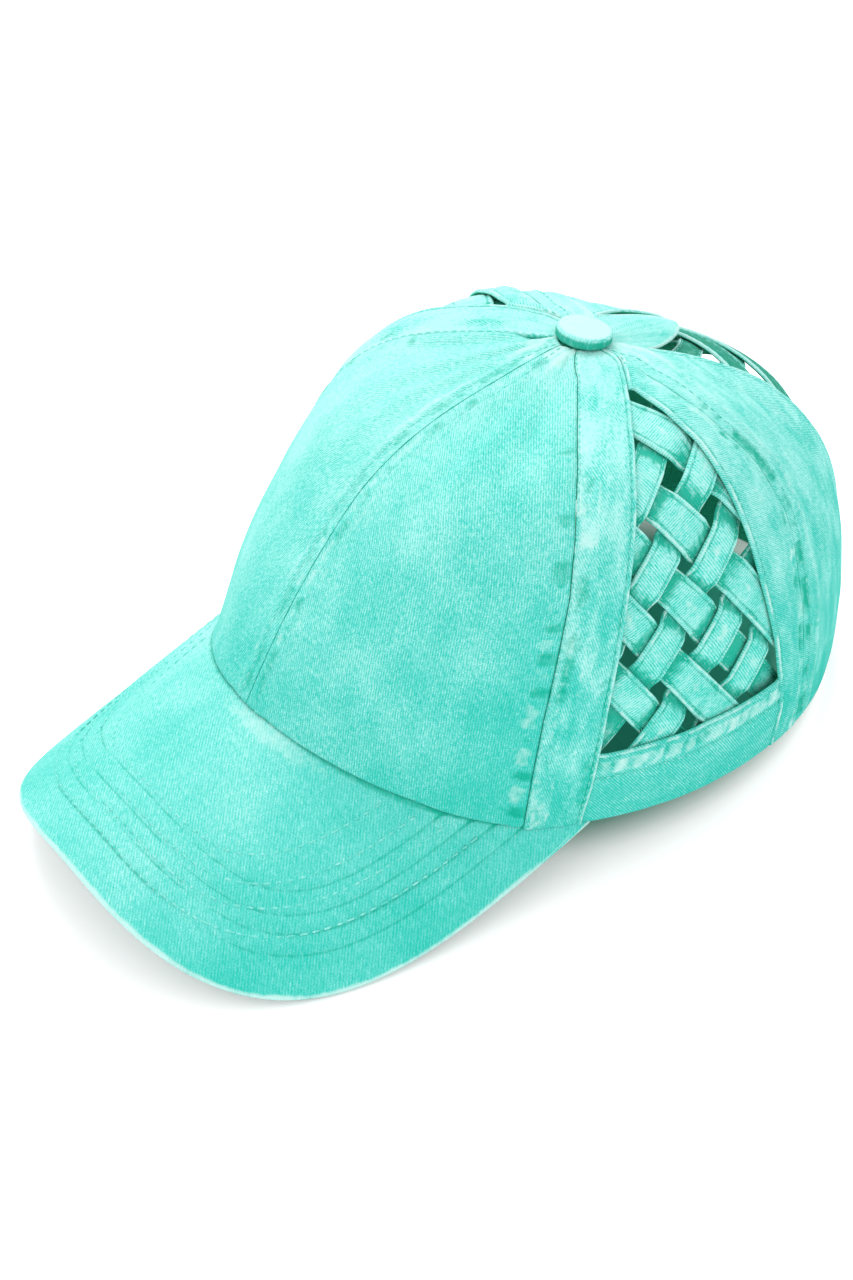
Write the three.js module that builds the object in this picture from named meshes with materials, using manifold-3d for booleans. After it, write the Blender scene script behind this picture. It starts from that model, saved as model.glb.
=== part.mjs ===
import * as THREE from 'three';
import { mergeVertices } from 'three/addons/utils/BufferGeometryUtils.js';
import Module from 'manifold-3d';

// Ponytail baseball cap as it rests on a table. Millimetres, +Z up, brim toward -Y,
// the wearer's left on +X. Azimuth counts from the front, 0, round the left side, 90,
// to the back, 180. Climb is 0 at the rim and 1 at the top of the crown.

// Crown
const halfWidth = 80;
const frontReach = 99.5;
const rearReach = 114;
const crownHeight = 122;
const topSetback = 20.5;
const clothThickness = 1.3;
const seamGap = 0.4;
const layerGap = 0.3;

// Rim and brim
const frontRimHeight = 48;
const brimRake = 0.337;
const brimArchDrop = 55.5;
const brimReach = 62.8;
const brimThickness = 2.6;
const brimSeam = 3;
const brimSpan = 69.6;
const rearHemFlat = 8;

// Side lattice
const strapWidth = 10.4;
const strapThickness = 1.2;
const lap = 4;
const bandHeight = 26;
const latticeMiddle = 89;

// Top button
const buttonRadius = 8.2;
const buttonHeight = 3.6;
const topHoleRadius = 5.5;
const topTilt = 10;
const topTiltReach = 16;
const buttonSeat = 0.9;

// Ponytail opening and closure
const backStrapWidth = 11;
const closureHeight = 22;
const closureOverlap = 9;
const proudEdge = 13.5;
const tongueTip = 0.752;
const yokeCorner = 0.855;

// Outline of the crown's rise toward the front, the side and the rear: how full the
// arc is, how much it bellies out half way up, and how much its shoulder leans.
const profiles = {
  front: { fullness: 2.33, belly: -0.12, shoulder: 0.015 },
  side: { fullness: 3.2, belly: -0.06, shoulder: 0.025 },
  rear: { fullness: 2.0, belly: 0.135, shoulder: -0.035 },
};
const rearQuarterFullness = -0.5;

// Outline of the brim's outer edge.
const brimCorner = { across: 2.61, along: 3.6 };

// Seams as azimuth against climb, from the rim up.
const frontSeam = [
  { climb: 0, azimuth: 57.6 },
  { climb: 0.11, azimuth: 58.6 },
  { climb: 0.22, azimuth: 60 },
  { climb: 0.32, azimuth: 61.8 },
  { climb: 0.42, azimuth: 63.6 },
  { climb: 0.52, azimuth: 64.2 },
  { climb: 0.66, azimuth: 64 },
  { climb: 0.78, azimuth: 62.8 },
  { climb: 0.87, azimuth: 61 },
  { climb: 0.93, azimuth: 52 },
  { climb: 1, azimuth: 42 },
];
const stripRear = [
  { climb: 0, azimuth: 68 },
  { climb: 0.1, azimuth: 69.5 },
  { climb: 0.23, azimuth: 71.6 },
  { climb: 0.36, azimuth: 74.6 },
  { climb: 0.5, azimuth: 77.6 },
  { climb: 0.62, azimuth: 80.4 },
  { climb: 0.71, azimuth: 83.8 },
  { climb: 0.785, azimuth: 89.4 },
  { climb: 0.82, azimuth: 93 },
  { climb: 0.85, azimuth: 97 },
  { climb: 0.88, azimuth: 103.5 },
  { climb: 0.91, azimuth: 109 },
  { climb: 1, azimuth: 112 },
];
const latticeRear = [
  { climb: 0, azimuth: 108.8 },
  { climb: 0.1, azimuth: 109 },
  { climb: 0.23, azimuth: 107.6 },
  { climb: 0.36, azimuth: 105.6 },
  { climb: 0.5, azimuth: 102.8 },
  { climb: 0.62, azimuth: 100 },
  { climb: 0.71, azimuth: 96.6 },
  { climb: 0.785, azimuth: 92.4 },
];
const rearSeam = [
  { climb: 0, azimuth: 117 },
  { climb: 0.16, azimuth: 117.2 },
  { climb: 0.3, azimuth: 117.8 },
  { climb: 0.42, azimuth: 119 },
  { climb: 0.52, azimuth: 116.4 },
  { climb: 0.62, azimuth: 111.6 },
  { climb: 0.71, azimuth: 108.6 },
  { climb: 0.785, azimuth: 107.2 },
  { climb: 0.82, azimuth: 106.8 },
  { climb: 0.85, azimuth: 107.8 },
  { climb: 0.895, azimuth: 109.4 },
];
const openingEdge = [
  { climb: 0, azimuth: 164 },
  { climb: 0.14, azimuth: 164 },
  { climb: 0.2, azimuth: 159.5 },
  { climb: 0.3, azimuth: 157.4 },
  { climb: 0.42, azimuth: 157.4 },
  { climb: 0.53, azimuth: 157 },
  { climb: 0.6, azimuth: 156 },
  { climb: 0.67, azimuth: 154 },
  { climb: 0.74, azimuth: 151 },
  { climb: 0.785, azimuth: 148.4 },
  { climb: 0.82, azimuth: 146 },
  { climb: 0.85, azimuth: 142.5 },
  { climb: 1, azimuth: 146 },
];

// The lattice's straps as the share of the side arc where each line, run on, meets the
// lattice's middle; under says whether the strap starts its weave the other way.
const strapRise = 1.02;
const strapFall = -1.33;
const risingStraps = [
  { meets: 0.698, under: 0 },
  { meets: 0.546, under: 0 },
  { meets: 0.401, under: 0 },
  { meets: 0.25, under: 0 },
  { meets: 0.105, under: 1 },
];
const fallingStraps = [0.737, 0.564, 0.412, 0.252, 0.089];

// The straps that cross the ponytail opening, from the low end on the left edge to the
// high end on the right edge.
const crossingStraps = [
  { lowClimb: 0.628, highClimb: 0.79 },
  { lowClimb: 0.492, highClimb: 0.67 },
];

const wasm = await Module();
wasm.setup();

const radians = THREE.MathUtils.degToRad;
const lerp = THREE.MathUtils.lerp;
const fullTurn = 360;
const smooth = (value) => THREE.MathUtils.smoothstep(value, 0, 1);
const range = (count) => Array.from({ length: count }, (_, index) => index);
const evenShares = (count) => range(count + 1).map((i) => i / count);
const brimEnd = {
  x: halfWidth * Math.sin(radians(brimSpan)),
  y: -frontReach * Math.cos(radians(brimSpan)),
};

// The sheet that the brim lies in, arched from side to side and raked down to the front.
function brimSheet(x, y) {
  return frontRimHeight + brimRake * (y + frontReach) - brimArchDrop * (x / halfWidth) ** 2;
}

// A closed wall from a grid of stations, each with an outer and an inner point.
function sheetGeometry(stations) {
  const rows = stations.length;
  const columns = stations[0].length;
  const positions = [];
  for (const face of ['outer', 'inner']) {
    for (const row of stations) {
      for (const station of row) {
        positions.push(...station[face].toArray());
      }
    }
  }
  const index = [];
  const at = (face, row, column) => face * rows * columns + row * columns + column;
  const quad = (a, b, c, d) => index.push(a, b, c, a, c, d);
  for (const r of range(rows - 1)) {
    for (const c of range(columns - 1)) {
      quad(at(0, r, c), at(0, r, c + 1), at(0, r + 1, c + 1), at(0, r + 1, c));
      quad(at(1, r, c), at(1, r + 1, c), at(1, r + 1, c + 1), at(1, r, c + 1));
    }
  }
  for (const c of range(columns - 1)) {
    quad(at(1, 0, c), at(1, 0, c + 1), at(0, 0, c + 1), at(0, 0, c));
    quad(at(0, rows - 1, c), at(0, rows - 1, c + 1), at(1, rows - 1, c + 1), at(1, rows - 1, c));
  }
  for (const r of range(rows - 1)) {
    quad(at(0, r, 0), at(0, r + 1, 0), at(1, r + 1, 0), at(1, r, 0));
    quad(at(1, r, columns - 1), at(1, r + 1, columns - 1), at(0, r + 1, columns - 1),
      at(0, r, columns - 1));
  }
  const geometry = new THREE.BufferGeometry();
  geometry.setAttribute('position', new THREE.Float32BufferAttribute(positions, 3));
  geometry.setIndex(index);
  return geometry;
}

function brimGeometry() {
  const depth = brimReach + frontReach + brimEnd.y;
  const base = (azimuth) => ({
    x: halfWidth * Math.sin(radians(azimuth)),
    y: -frontReach * Math.cos(radians(azimuth)),
  });
  const sheet = (x, y, drop) => {
    const normal = new THREE.Vector3(2 * brimArchDrop * x / halfWidth ** 2, -brimRake, 1).normalize();
    return new THREE.Vector3(x, y, brimSheet(x, y) - layerGap).addScaledVector(normal, -drop);
  };
  return sheetGeometry(evenShares(5).map((run) => evenShares(28).map((round) => {
    const turn = (2 * round - 1) * Math.PI / 2;
    const forward = Math.max(Math.cos(turn), 0) ** (2 / brimCorner.along);
    const outward = Math.sign(turn) * Math.abs(Math.sin(turn)) ** (2 / brimCorner.across);
    const outer = { x: brimEnd.x * outward, y: brimEnd.y - depth * forward };
    const inner = base(brimSpan * turn / (Math.PI / 2));
    const inset = 1 - brimSeam / Math.hypot(inner.x, inner.y);
    const x = lerp(outer.x, inner.x * inset, run);
    const y = lerp(outer.y, inner.y * inset, run);
    return { outer: sheet(x, y, 0), inner: sheet(x, y, brimThickness) };
  })));
}

const brimMesh = brimGeometry();
brimMesh.computeBoundingBox();
const tableHeight = brimMesh.boundingBox.min.z;

// The rim's height: on the brim in front, then a straight run down to the flat rear hem,
// which lies on the table with the brim's two lowest corners.
function rimHeight(x, y, azimuth) {
  if (Math.abs(azimuth) <= brimSpan) {
    return brimSheet(x, y);
  }
  const run = rearReach - rearHemFlat - brimEnd.y;
  const share = THREE.MathUtils.clamp((y - brimEnd.y) / run, 0, 1);
  return lerp(brimSheet(brimEnd.x, brimEnd.y), tableHeight, share);
}

function crownPoint(azimuth, climb) {
  const s = Math.sin(radians(azimuth));
  const c = Math.cos(radians(azimuth));
  const end = c > 0 ? profiles.front : profiles.rear;
  const blend = (key) => profiles.side[key] * s * s + end[key] * c * c;
  const quarter = c > 0 ? 0 : 4 * s * s * c * c;
  const fullness = blend('fullness') + rearQuarterFullness * quarter;
  const x = halfWidth * s;
  const y = -(c > 0 ? frontReach : rearReach) * c;
  const z = rimHeight(x, y, azimuth);
  const angle = climb * Math.PI / 2;
  const cosine = Math.max(Math.cos(angle), 1e-9);
  const sine = Math.max(Math.sin(angle), 1e-9);
  const spread = (cosine ** fullness + sine ** fullness) ** (-1 / fullness);
  const rise = climb > 0 ? spread * sine : 0;
  const lean = 4 * blend('belly') * rise * (1 - rise);
  const shrug = blend('shoulder') * Math.sin(2 * Math.PI * rise);
  const inward = spread * cosine * (1 + lean + shrug);
  const setback = (y - topSetback) * inward;
  const nearTop = Math.exp(-((x * inward) ** 2 + setback ** 2) / topTiltReach ** 2);
  return new THREE.Vector3(
    x * inward,
    topSetback + setback,
    z + (crownHeight - z) * rise - Math.tan(radians(topTilt)) * setback * nearTop,
  );
}

function crownSlope(azimuth, climb) {
  const turn = 0.2;
  const step = 0.002;
  const low = Math.max(climb - step, 0);
  const high = Math.min(climb + step, 0.999);
  const level = crownPoint(azimuth + turn, climb).sub(crownPoint(azimuth - turn, climb));
  const upward = crownPoint(azimuth, high).sub(crownPoint(azimuth, low));
  return {
    perDegree: level.length() / (2 * turn),
    perClimb: upward.length() / (high - low),
    normal: level.cross(upward).normalize(),
  };
}

// A point on the crown's wall, off its outer face by the given distance. At the rim the
// wall is cut off along the rim's own sheet.
function wallPoint(azimuth, climb, off) {
  const point = crownPoint(azimuth, climb);
  const normal = crownSlope(azimuth, climb).normal;
  if (climb > 0) {
    return point.addScaledVector(normal, off);
  }
  const across = Math.hypot(normal.x, normal.y);
  point.x += off * normal.x / across;
  point.y += off * normal.y / across;
  point.z = rimHeight(point.x, point.y, azimuth);
  return point;
}

function tableAt(table, climb) {
  const last = table[table.length - 1];
  if (climb >= last.climb) {
    return last.azimuth;
  }
  const index = table.findIndex((row) => row.climb > climb);
  const low = table[index - 1];
  const high = table[index];
  const share = (climb - low.climb) / (high.climb - low.climb);
  return low.azimuth + (high.azimuth - low.azimuth) * share;
}

function mirrored(geometry) {
  const copy = geometry.clone();
  const position = copy.getAttribute('position');
  for (const i of range(position.count)) {
    position.setX(i, -position.getX(i));
  }
  const index = copy.getIndex();
  for (let i = 0; i < index.count; i += 3) {
    const second = index.getX(i + 1);
    index.setX(i + 1, index.getX(i + 2));
    index.setX(i + 2, second);
  }
  return copy;
}

function toManifold(geometry) {
  const merged = mergeVertices(geometry, 1e-4);
  return new wasm.Manifold(new wasm.Mesh({
    numProp: 3,
    vertProperties: new Float32Array(merged.getAttribute('position').array),
    triVerts: new Uint32Array(merged.getIndex().array),
  }));
}

function fromManifold(solid) {
  const mesh = solid.getMesh();
  const geometry = new THREE.BufferGeometry();
  geometry.setAttribute('position', new THREE.BufferAttribute(mesh.vertProperties, 3));
  geometry.setIndex(new THREE.BufferAttribute(mesh.triVerts, 1));
  return geometry;
}

// A crown panel from tables of its two side edges. Each row is a climb with the two
// azimuths, each column a share across with how far the wall is lifted there.
function panelGeometry(rows, columns, lift) {
  return sheetGeometry(rows.map((row) => columns.map((share) => {
    const trim = (azimuth) => seamGap / 2 / crownSlope(azimuth, row.climb).perDegree;
    const [from, to] = row.azimuths;
    const azimuth = lerp(from + trim(from), to - trim(to), share);
    const off = lift(row, share);
    return {
      outer: wallPoint(azimuth, row.climb, off),
      inner: wallPoint(azimuth, row.climb, off - clothThickness),
    };
  })));
}

const lapLift = clothThickness + layerGap;
const topLiftLoss = { share: 0.8, reach: 0.15 };
const sidePanelTop = rearSeam[rearSeam.length - 1].climb;
const topClimb = 1 - topHoleRadius / crownSlope(latticeMiddle, 0.96).perClimb;
const latticeTop = 0.785;
const latticeClimbs = [
  0, 0.1, 0.165, 0.23, 0.295, 0.36, 0.43, 0.5, 0.56, 0.62, 0.665, 0.71, 0.75, latticeTop,
];
const topClimbs = [0.82, 0.85, 0.88, 0.91, 0.94, topClimb];
const seamClimbs = [...latticeClimbs, ...topClimbs];
const rimFade = (climb) => smooth(climb / seamClimbs[1]);
const topFade = (climb) => 1 - topLiftLoss.share * smooth((climb - latticeTop) / topLiftLoss.reach);

function frontPanel() {
  const rows = seamClimbs.map((climb) => ({ climb, azimuths: [0, tableAt(frontSeam, climb)] }));
  return panelGeometry(rows, evenShares(8), () => 0);
}

// The strip's rear edge stands proud where it laps over the lattice, less so above it.
function sideStrip() {
  const rows = seamClimbs.map((climb) => ({
    climb,
    azimuths: [tableAt(frontSeam, climb), tableAt(stripRear, climb)],
  }));
  const lift = (row, share) => rimFade(row.climb) * topFade(row.climb) * lapLift * smooth(2 * share);
  return panelGeometry(rows, evenShares(4), lift);
}

// The side panel unrolled: along counts millimetres level from the lattice's middle,
// up counts them from the rim.
const arcSteps = 200;
const arcTable = [0];
for (const i of range(arcSteps)) {
  const from = crownPoint(latticeMiddle, i / arcSteps);
  const to = crownPoint(latticeMiddle, (i + 1) / arcSteps);
  arcTable.push(arcTable[i] + from.distanceTo(to));
}
const sideArc = arcTable[arcSteps];

function climbAt(up) {
  const index = Math.max(arcTable.findIndex((length) => length > up), 1);
  const share = (up - arcTable[index - 1]) / (arcTable[index] - arcTable[index - 1]);
  return (index - 1 + share) / arcSteps;
}

function upAt(climb) {
  const place = climb * arcSteps;
  const index = Math.min(Math.floor(place), arcSteps - 1);
  return lerp(arcTable[index], arcTable[index + 1], place - index);
}

function unrolledWall(along, up, off) {
  const climb = climbAt(up);
  const azimuth = latticeMiddle + along / crownSlope(latticeMiddle, climb).perDegree;
  return wallPoint(azimuth, climb, off);
}

const bandTop = climbAt(bandHeight);
const bandClimbs = evenShares(3).map((share) => share * bandTop);

function lowerBand() {
  const rows = bandClimbs.map((climb) => ({
    climb,
    azimuths: [tableAt(stripRear, climb), tableAt(latticeRear, climb)],
  }));
  const [from, to] = rows[0].azimuths;
  const leastShare = 0.02;
  const pastBrim = Math.max((brimSpan - seamGap - from) / (to - from), leastShare);
  const lift = (row) => lapLift * smooth(row.climb / bandClimbs[2]);
  return panelGeometry(rows, [0, pastBrim, ...evenShares(6).slice(1)], lift);
}

// Behind the lattice, then behind the strip up to a narrow end near the button.
function rearSidePanel() {
  const climbs = [...seamClimbs.filter((climb) => climb < sidePanelTop), sidePanelTop];
  const rows = climbs.map((climb) => ({
    climb,
    azimuths: [
      tableAt(climb > latticeTop ? stripRear : latticeRear, climb),
      tableAt(rearSeam, climb),
    ],
  }));
  const lift = (row, share) => rimFade(row.climb) * topFade(row.climb) * lapLift
    * smooth(2 - 2 * share);
  return panelGeometry(rows, [0, 0.5, 0.75, 1], lift);
}

// Where up the opening's edge the cloth stands proud to let the crossing straps in.
const proudFrom = { climb: 0.3, reach: 0.13 };
const proudUntil = { climb: 0.85, reach: 0.06 };
const besideStraps = (climb) => smooth((climb - proudFrom.climb) / proudFrom.reach)
  * (1 - smooth((climb - proudUntil.climb) / proudUntil.reach));

function backPanel() {
  const rows = seamClimbs.map((climb) => ({
    climb,
    azimuths: [
      tableAt(climb > sidePanelTop ? stripRear : rearSeam, climb),
      tableAt(openingEdge, climb),
    ],
  }));
  const lift = (row, share) => {
    const [from, to] = row.azimuths;
    const inset = (1 - share) * (to - from) * crownSlope(to, row.climb).perDegree;
    return lapLift * besideStraps(row.climb) * smooth((proudEdge - inset) / lap);
  };
  return panelGeometry(rows, evenShares(6), lift);
}

// The yoke closes the crown behind the button and ends in the tongue that hangs over the
// top of the opening.
function rearYoke() {
  const tipRoundness = 1.3;
  const liftedPart = 1.6;
  return sheetGeometry(evenShares(4).map((row) => evenShares(12).map((share) => {
    const edge = lerp(tongueTip, yokeCorner, Math.abs(2 * share - 1) ** tipRoundness);
    const climb = lerp(edge, topClimb, row);
    const side = tableAt(openingEdge, climb);
    const inset = side + seamGap / crownSlope(side, climb).perDegree;
    const azimuth = lerp(inset, fullTurn - inset, share);
    const off = lapLift * smooth(liftedPart - 2 * row);
    return {
      outer: wallPoint(azimuth, climb, off),
      inner: wallPoint(azimuth, climb, off - clothThickness),
    };
  })));
}

// A strap along a straight line on the unrolled side, woven in and out at its crossings.
function strapGeometry(line, stations, place) {
  const shares = [0.5, 0, -0.5];
  const length = Math.hypot(1, line.slope);
  const across = { along: -line.slope / length, up: 1 / length };
  return sheetGeometry(stations.map((station) => shares.map((share) => {
    const along = station.along + share * line.width * across.along;
    const up = line.meets + line.slope * station.along + share * line.width * across.up;
    return {
      outer: place(along, up, station.off),
      inner: place(along, up, station.off - strapThickness),
    };
  })));
}

const underLevel = -strapThickness - seamGap;
const plateau = 0.6 * strapWidth;
const sideReach = 0.75;
const topReach = 0.9;

function latticeLines() {
  const rising = risingStraps.map((row, i) => ({
    name: `lattice_rising_strap_${i + 1}`,
    meets: row.meets * sideArc,
    slope: strapRise,
    phase: i + row.under,
    width: strapWidth,
  }));
  const falling = fallingStraps.map((meets, i) => ({
    name: `lattice_falling_strap_${i + 1}`,
    meets: meets * sideArc,
    slope: strapFall,
    phase: i,
    width: strapWidth,
  }));
  return { rising, falling };
}

// The window that the straps fill, with a lap under the pieces round it.
function latticeWindow() {
  const climbs = [
    climbAt(bandHeight - lap),
    ...latticeClimbs.filter((climb) => climb > bandTop),
    climbAt(upAt(latticeTop) + lap / 2),
  ];
  return toManifold(sheetGeometry(climbs.map((climb) => evenShares(5).map((share) => {
    const side = lap / crownSlope(latticeMiddle, climb).perDegree;
    const azimuth = lerp(
      tableAt(stripRear, climb) - side,
      tableAt(latticeRear, climb) + side,
      share,
    );
    return {
      outer: wallPoint(azimuth, climb, strapThickness),
      inner: wallPoint(azimuth, climb, underLevel - 2 * strapThickness),
    };
  }))));
}

function latticeStrap(line, others, over, window) {
  const pace = Math.hypot(1, line.slope);
  const edge = plateau / pace;
  const crossings = others
    .map((other) => ({
      along: (other.meets - line.meets) / (line.slope - other.slope),
      off: (line.phase + other.phase) % 2 === over ? 0 : underLevel,
    }))
    .sort((a, b) => a.along - b.along);
  const stations = [];
  for (const crossing of crossings) {
    for (const shift of [-edge, 0, edge]) {
      stations.push({ along: crossing.along + shift, off: crossing.off });
    }
  }
  const room = stations.filter((station) => {
    const up = line.meets + line.slope * station.along;
    return Math.abs(station.along) < sideReach * halfWidth && up > 0 && up < topReach * sideArc;
  });
  const solid = toManifold(strapGeometry(line, room, unrolledWall));
  return fromManifold(solid.intersect(window));
}

// A cloth-covered button with a rounded shoulder and a slightly domed top.
function buttonGeometry() {
  const steps = 6;
  const footShare = 0.9;
  const edgeShare = 0.15;
  const flatness = 0.55;
  const profile = [new THREE.Vector2(0, 0), new THREE.Vector2(buttonRadius * footShare, 0)];
  for (const i of range(steps + 1)) {
    const angle = i / steps * Math.PI / 2;
    const out = i === steps ? 0 : Math.cos(angle) ** flatness;
    const rise = lerp(edgeShare, 1, Math.sin(angle));
    profile.push(new THREE.Vector2(buttonRadius * out, buttonHeight * rise));
  }
  const geometry = new THREE.LatheGeometry(profile, 24);
  geometry.rotateX(Math.PI / 2);
  geometry.deleteAttribute('normal');
  geometry.deleteAttribute('uv');
  return mergeVertices(geometry, 1e-4);
}

// A strap over the opening from its low end on the left edge to its high end on the
// right edge, tucked under the panels at both ends.
function crossingStrap(row, off) {
  const start = { azimuth: tableAt(openingEdge, row.lowClimb), climb: row.lowClimb };
  const end = { azimuth: fullTurn - tableAt(openingEdge, row.highClimb), climb: row.highClimb };
  const tuck = 0.08;
  const shares = evenShares(10).map((share) => lerp(-tuck, 1 + tuck, share));
  return sheetGeometry(shares.map((share) => [0.5, 0, -0.5].map((side) => {
    const azimuth = lerp(start.azimuth, end.azimuth, share);
    const climb = lerp(start.climb, end.climb, share);
    const slope = crownSlope(azimuth, climb);
    const along = (end.azimuth - start.azimuth) * slope.perDegree;
    const upward = (end.climb - start.climb) * slope.perClimb;
    const length = Math.hypot(along, upward);
    const shiftAzimuth = -side * backStrapWidth * upward / length / slope.perDegree;
    const shiftClimb = side * backStrapWidth * along / length / slope.perClimb;
    return {
      outer: wallPoint(azimuth + shiftAzimuth, climb + shiftClimb, off),
      inner: wallPoint(azimuth + shiftAzimuth, climb + shiftClimb, off - strapThickness),
    };
  })));
}

function closureStrap() {
  const top = closureHeight / crownSlope(fullTurn / 2, 0.08).perClimb;
  const start = tableAt(openingEdge, 0) - closureOverlap;
  const off = -clothThickness - 2 * layerGap;
  return sheetGeometry(evenShares(2).map((rise) => evenShares(12).map((share) => {
    const azimuth = lerp(start, fullTurn - start, share);
    return {
      outer: wallPoint(azimuth, rise * top, off),
      inner: wallPoint(azimuth, rise * top, off - clothThickness),
    };
  })));
}

const cap = new THREE.Group();

function addMesh(name, geometry, finish) {
  const clean = mergeVertices(geometry, 1e-4);
  const mesh = new THREE.Mesh(clean, new THREE.MeshStandardMaterial(finish));
  mesh.name = name;
  cap.add(mesh);
  return mesh;
}

function addPair(name, geometry, finish) {
  addMesh(`${name}_left`, geometry, finish);
  addMesh(`${name}_right`, mirrored(geometry), finish);
}

const twill = { color: 0x8fe8d6, roughness: 0.9, metalness: 0 };
const paleTwill = { color: 0xa6efe1, roughness: 0.9, metalness: 0 };
const strapCloth = { color: 0x86e4d0, roughness: 0.92, metalness: 0 };

addPair('front_panel', frontPanel(), twill);
addPair('side_strip', sideStrip(), paleTwill);
addPair('lower_band', lowerBand(), twill);
addPair('rear_side_panel', rearSidePanel(), twill);
addPair('back_panel', backPanel(), twill);
addMesh('rear_yoke', rearYoke(), twill);
addMesh('brim', brimMesh, twill);

const window = latticeWindow();
const { rising, falling } = latticeLines();
for (const line of rising) {
  addPair(line.name, latticeStrap(line, falling, 1, window), strapCloth);
}
for (const line of falling) {
  addPair(line.name, latticeStrap(line, rising, 0, window), strapCloth);
}

for (const [i, row] of crossingStraps.entries()) {
  addMesh(`crossing_strap_${2 * i + 1}`, crossingStrap(row, 0), strapCloth);
  addMesh(`crossing_strap_${2 * i + 2}`, mirrored(crossingStrap(row, underLevel)), strapCloth);
}
addMesh('closure_strap', closureStrap(), strapCloth);

const button = addMesh('top_button', buttonGeometry(), paleTwill);
button.position.set(0, topSetback, crownHeight + buttonSeat);
button.rotation.x = -radians(topTilt);

// Stand the cap on the table with its outline centred on the origin.
const box = new THREE.Box3().setFromObject(cap);
const centre = box.getCenter(new THREE.Vector3());
cap.position.set(0, -centre.y, -box.min.z);

export default cap;
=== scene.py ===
import bpy
import numpy as np
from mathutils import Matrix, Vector


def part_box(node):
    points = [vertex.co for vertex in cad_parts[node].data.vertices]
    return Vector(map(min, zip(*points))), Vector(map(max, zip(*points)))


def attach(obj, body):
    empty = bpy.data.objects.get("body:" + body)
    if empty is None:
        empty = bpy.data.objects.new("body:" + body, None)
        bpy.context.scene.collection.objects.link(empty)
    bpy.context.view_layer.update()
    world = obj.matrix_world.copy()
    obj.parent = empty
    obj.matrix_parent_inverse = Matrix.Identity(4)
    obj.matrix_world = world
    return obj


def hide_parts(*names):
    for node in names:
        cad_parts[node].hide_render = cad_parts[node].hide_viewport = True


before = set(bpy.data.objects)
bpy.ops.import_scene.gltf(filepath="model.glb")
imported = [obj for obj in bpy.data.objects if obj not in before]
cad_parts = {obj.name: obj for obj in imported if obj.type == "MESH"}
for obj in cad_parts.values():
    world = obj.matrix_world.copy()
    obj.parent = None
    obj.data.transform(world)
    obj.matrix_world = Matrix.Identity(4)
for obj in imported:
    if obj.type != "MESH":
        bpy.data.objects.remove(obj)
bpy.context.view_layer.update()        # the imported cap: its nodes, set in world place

# Everything is worked out in millimetres with the button's axis over the middle, as the
# cap was cut, then moved to where the frame has it.
crown = {"halfWidth": 80.0, "frontReach": 99.5, "rearReach": 114.0, "height": 122.0,
         "topSetback": 20.5, "cloth": 1.3, "layer": 0.3, "topTilt": 10.0,
         "topTiltReach": 16.0, "rearQuarter": -0.5, "topHole": 5.5}
peak = {"rimHeight": 48.0, "rake": 0.337, "archDrop": 55.5, "reach": 62.8, "thickness": 2.6,
        "seam": 3.0, "span": 69.6, "across": 2.61, "along": 3.6, "hemFlat": 8.0}
rise = {"front": (2.33, -0.12, 0.015), "side": (3.2, -0.06, 0.025), "rear": (2.0, 0.135, -0.035)}

# Seams as climb from the rim, 0 to 1, against azimuth from the front in degrees.
frontSeam = ((0, .11, .22, .32, .42, .52, .66, .78, .87, .93, 1),
             (57.6, 58.6, 60, 61.8, 63.6, 64.2, 64, 62.8, 61, 52, 42))
stripRear = ((0, .1, .23, .36, .5, .62, .71, .785, .82, .85, .88, .91, 1),
             (68, 69.5, 71.6, 74.6, 77.6, 80.4, 83.8, 89.4, 93, 97, 103.5, 109, 112))
latticeRear = ((0, .1, .23, .36, .5, .62, .71, .785),
               (108.8, 109, 107.6, 105.6, 102.8, 100, 96.6, 92.4))
rearSeam = ((0, .16, .3, .42, .52, .62, .71, .785, .82, .85, .895),
            (117, 117.2, 117.8, 119, 116.4, 111.6, 108.6, 107.2, 106.8, 107.8, 109.4))
openingEdge = ((0, .14, .2, .3, .42, .53, .6, .67, .74, .785, .82, .85, 1),
               (164, 164, 159.5, 157.4, 157.4, 157, 156, 154, 151, 148.4, 146, 142.5, 146))
latticeTop = 0.785
sidePanelTop = 0.895
lapLift = crown["cloth"] + crown["layer"]
sideMiddle = 89.0        # the azimuth of the lattice's middle

peakEndX = crown["halfWidth"] * np.sin(np.radians(peak["span"]))
peakEndY = -crown["frontReach"] * np.cos(np.radians(peak["span"]))
peakLow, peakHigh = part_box("brim")
shift = np.array([0.0,
                  peakLow.y * 1000 + crown["frontReach"] + peak["reach"],
                  peakHigh.z * 1000 - peak["rimHeight"] - peak["rake"] * peak["seam"] + crown["layer"]])
tableHeight = -shift[2]


def smooth(value):
    value = np.clip(value, 0, 1)
    return value * value * (3 - 2 * value)


def hump(distance, middle, width):
    return np.exp(-((distance - middle) / width) ** 2)


def unit(vectors):
    return vectors / np.linalg.norm(vectors, axis=-1, keepdims=True)


def runAlong(points):
    return np.concatenate([[0], np.cumsum(np.linalg.norm(np.diff(points, axis=0), axis=1))])


def cloud(points, size, seed):
    # soft lumps between -1 and 1, each about the given size across
    count, away = 32, 500.5
    table = np.random.default_rng(seed).uniform(-1, 1, (count, count, count))
    place = np.asarray(points) / size + away
    cell = np.floor(place).astype(int)
    t = smooth(place - cell)
    total = 0
    for i in (0, 1):
        for j in (0, 1):
            for k in (0, 1):
                weight = (np.where(i, t[..., 0], 1 - t[..., 0]) * np.where(j, t[..., 1], 1 - t[..., 1])
                          * np.where(k, t[..., 2], 1 - t[..., 2]))
                near = (cell + [i, j, k]) % count
                total = total + weight * table[near[..., 0], near[..., 1], near[..., 2]]
    return total


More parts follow.
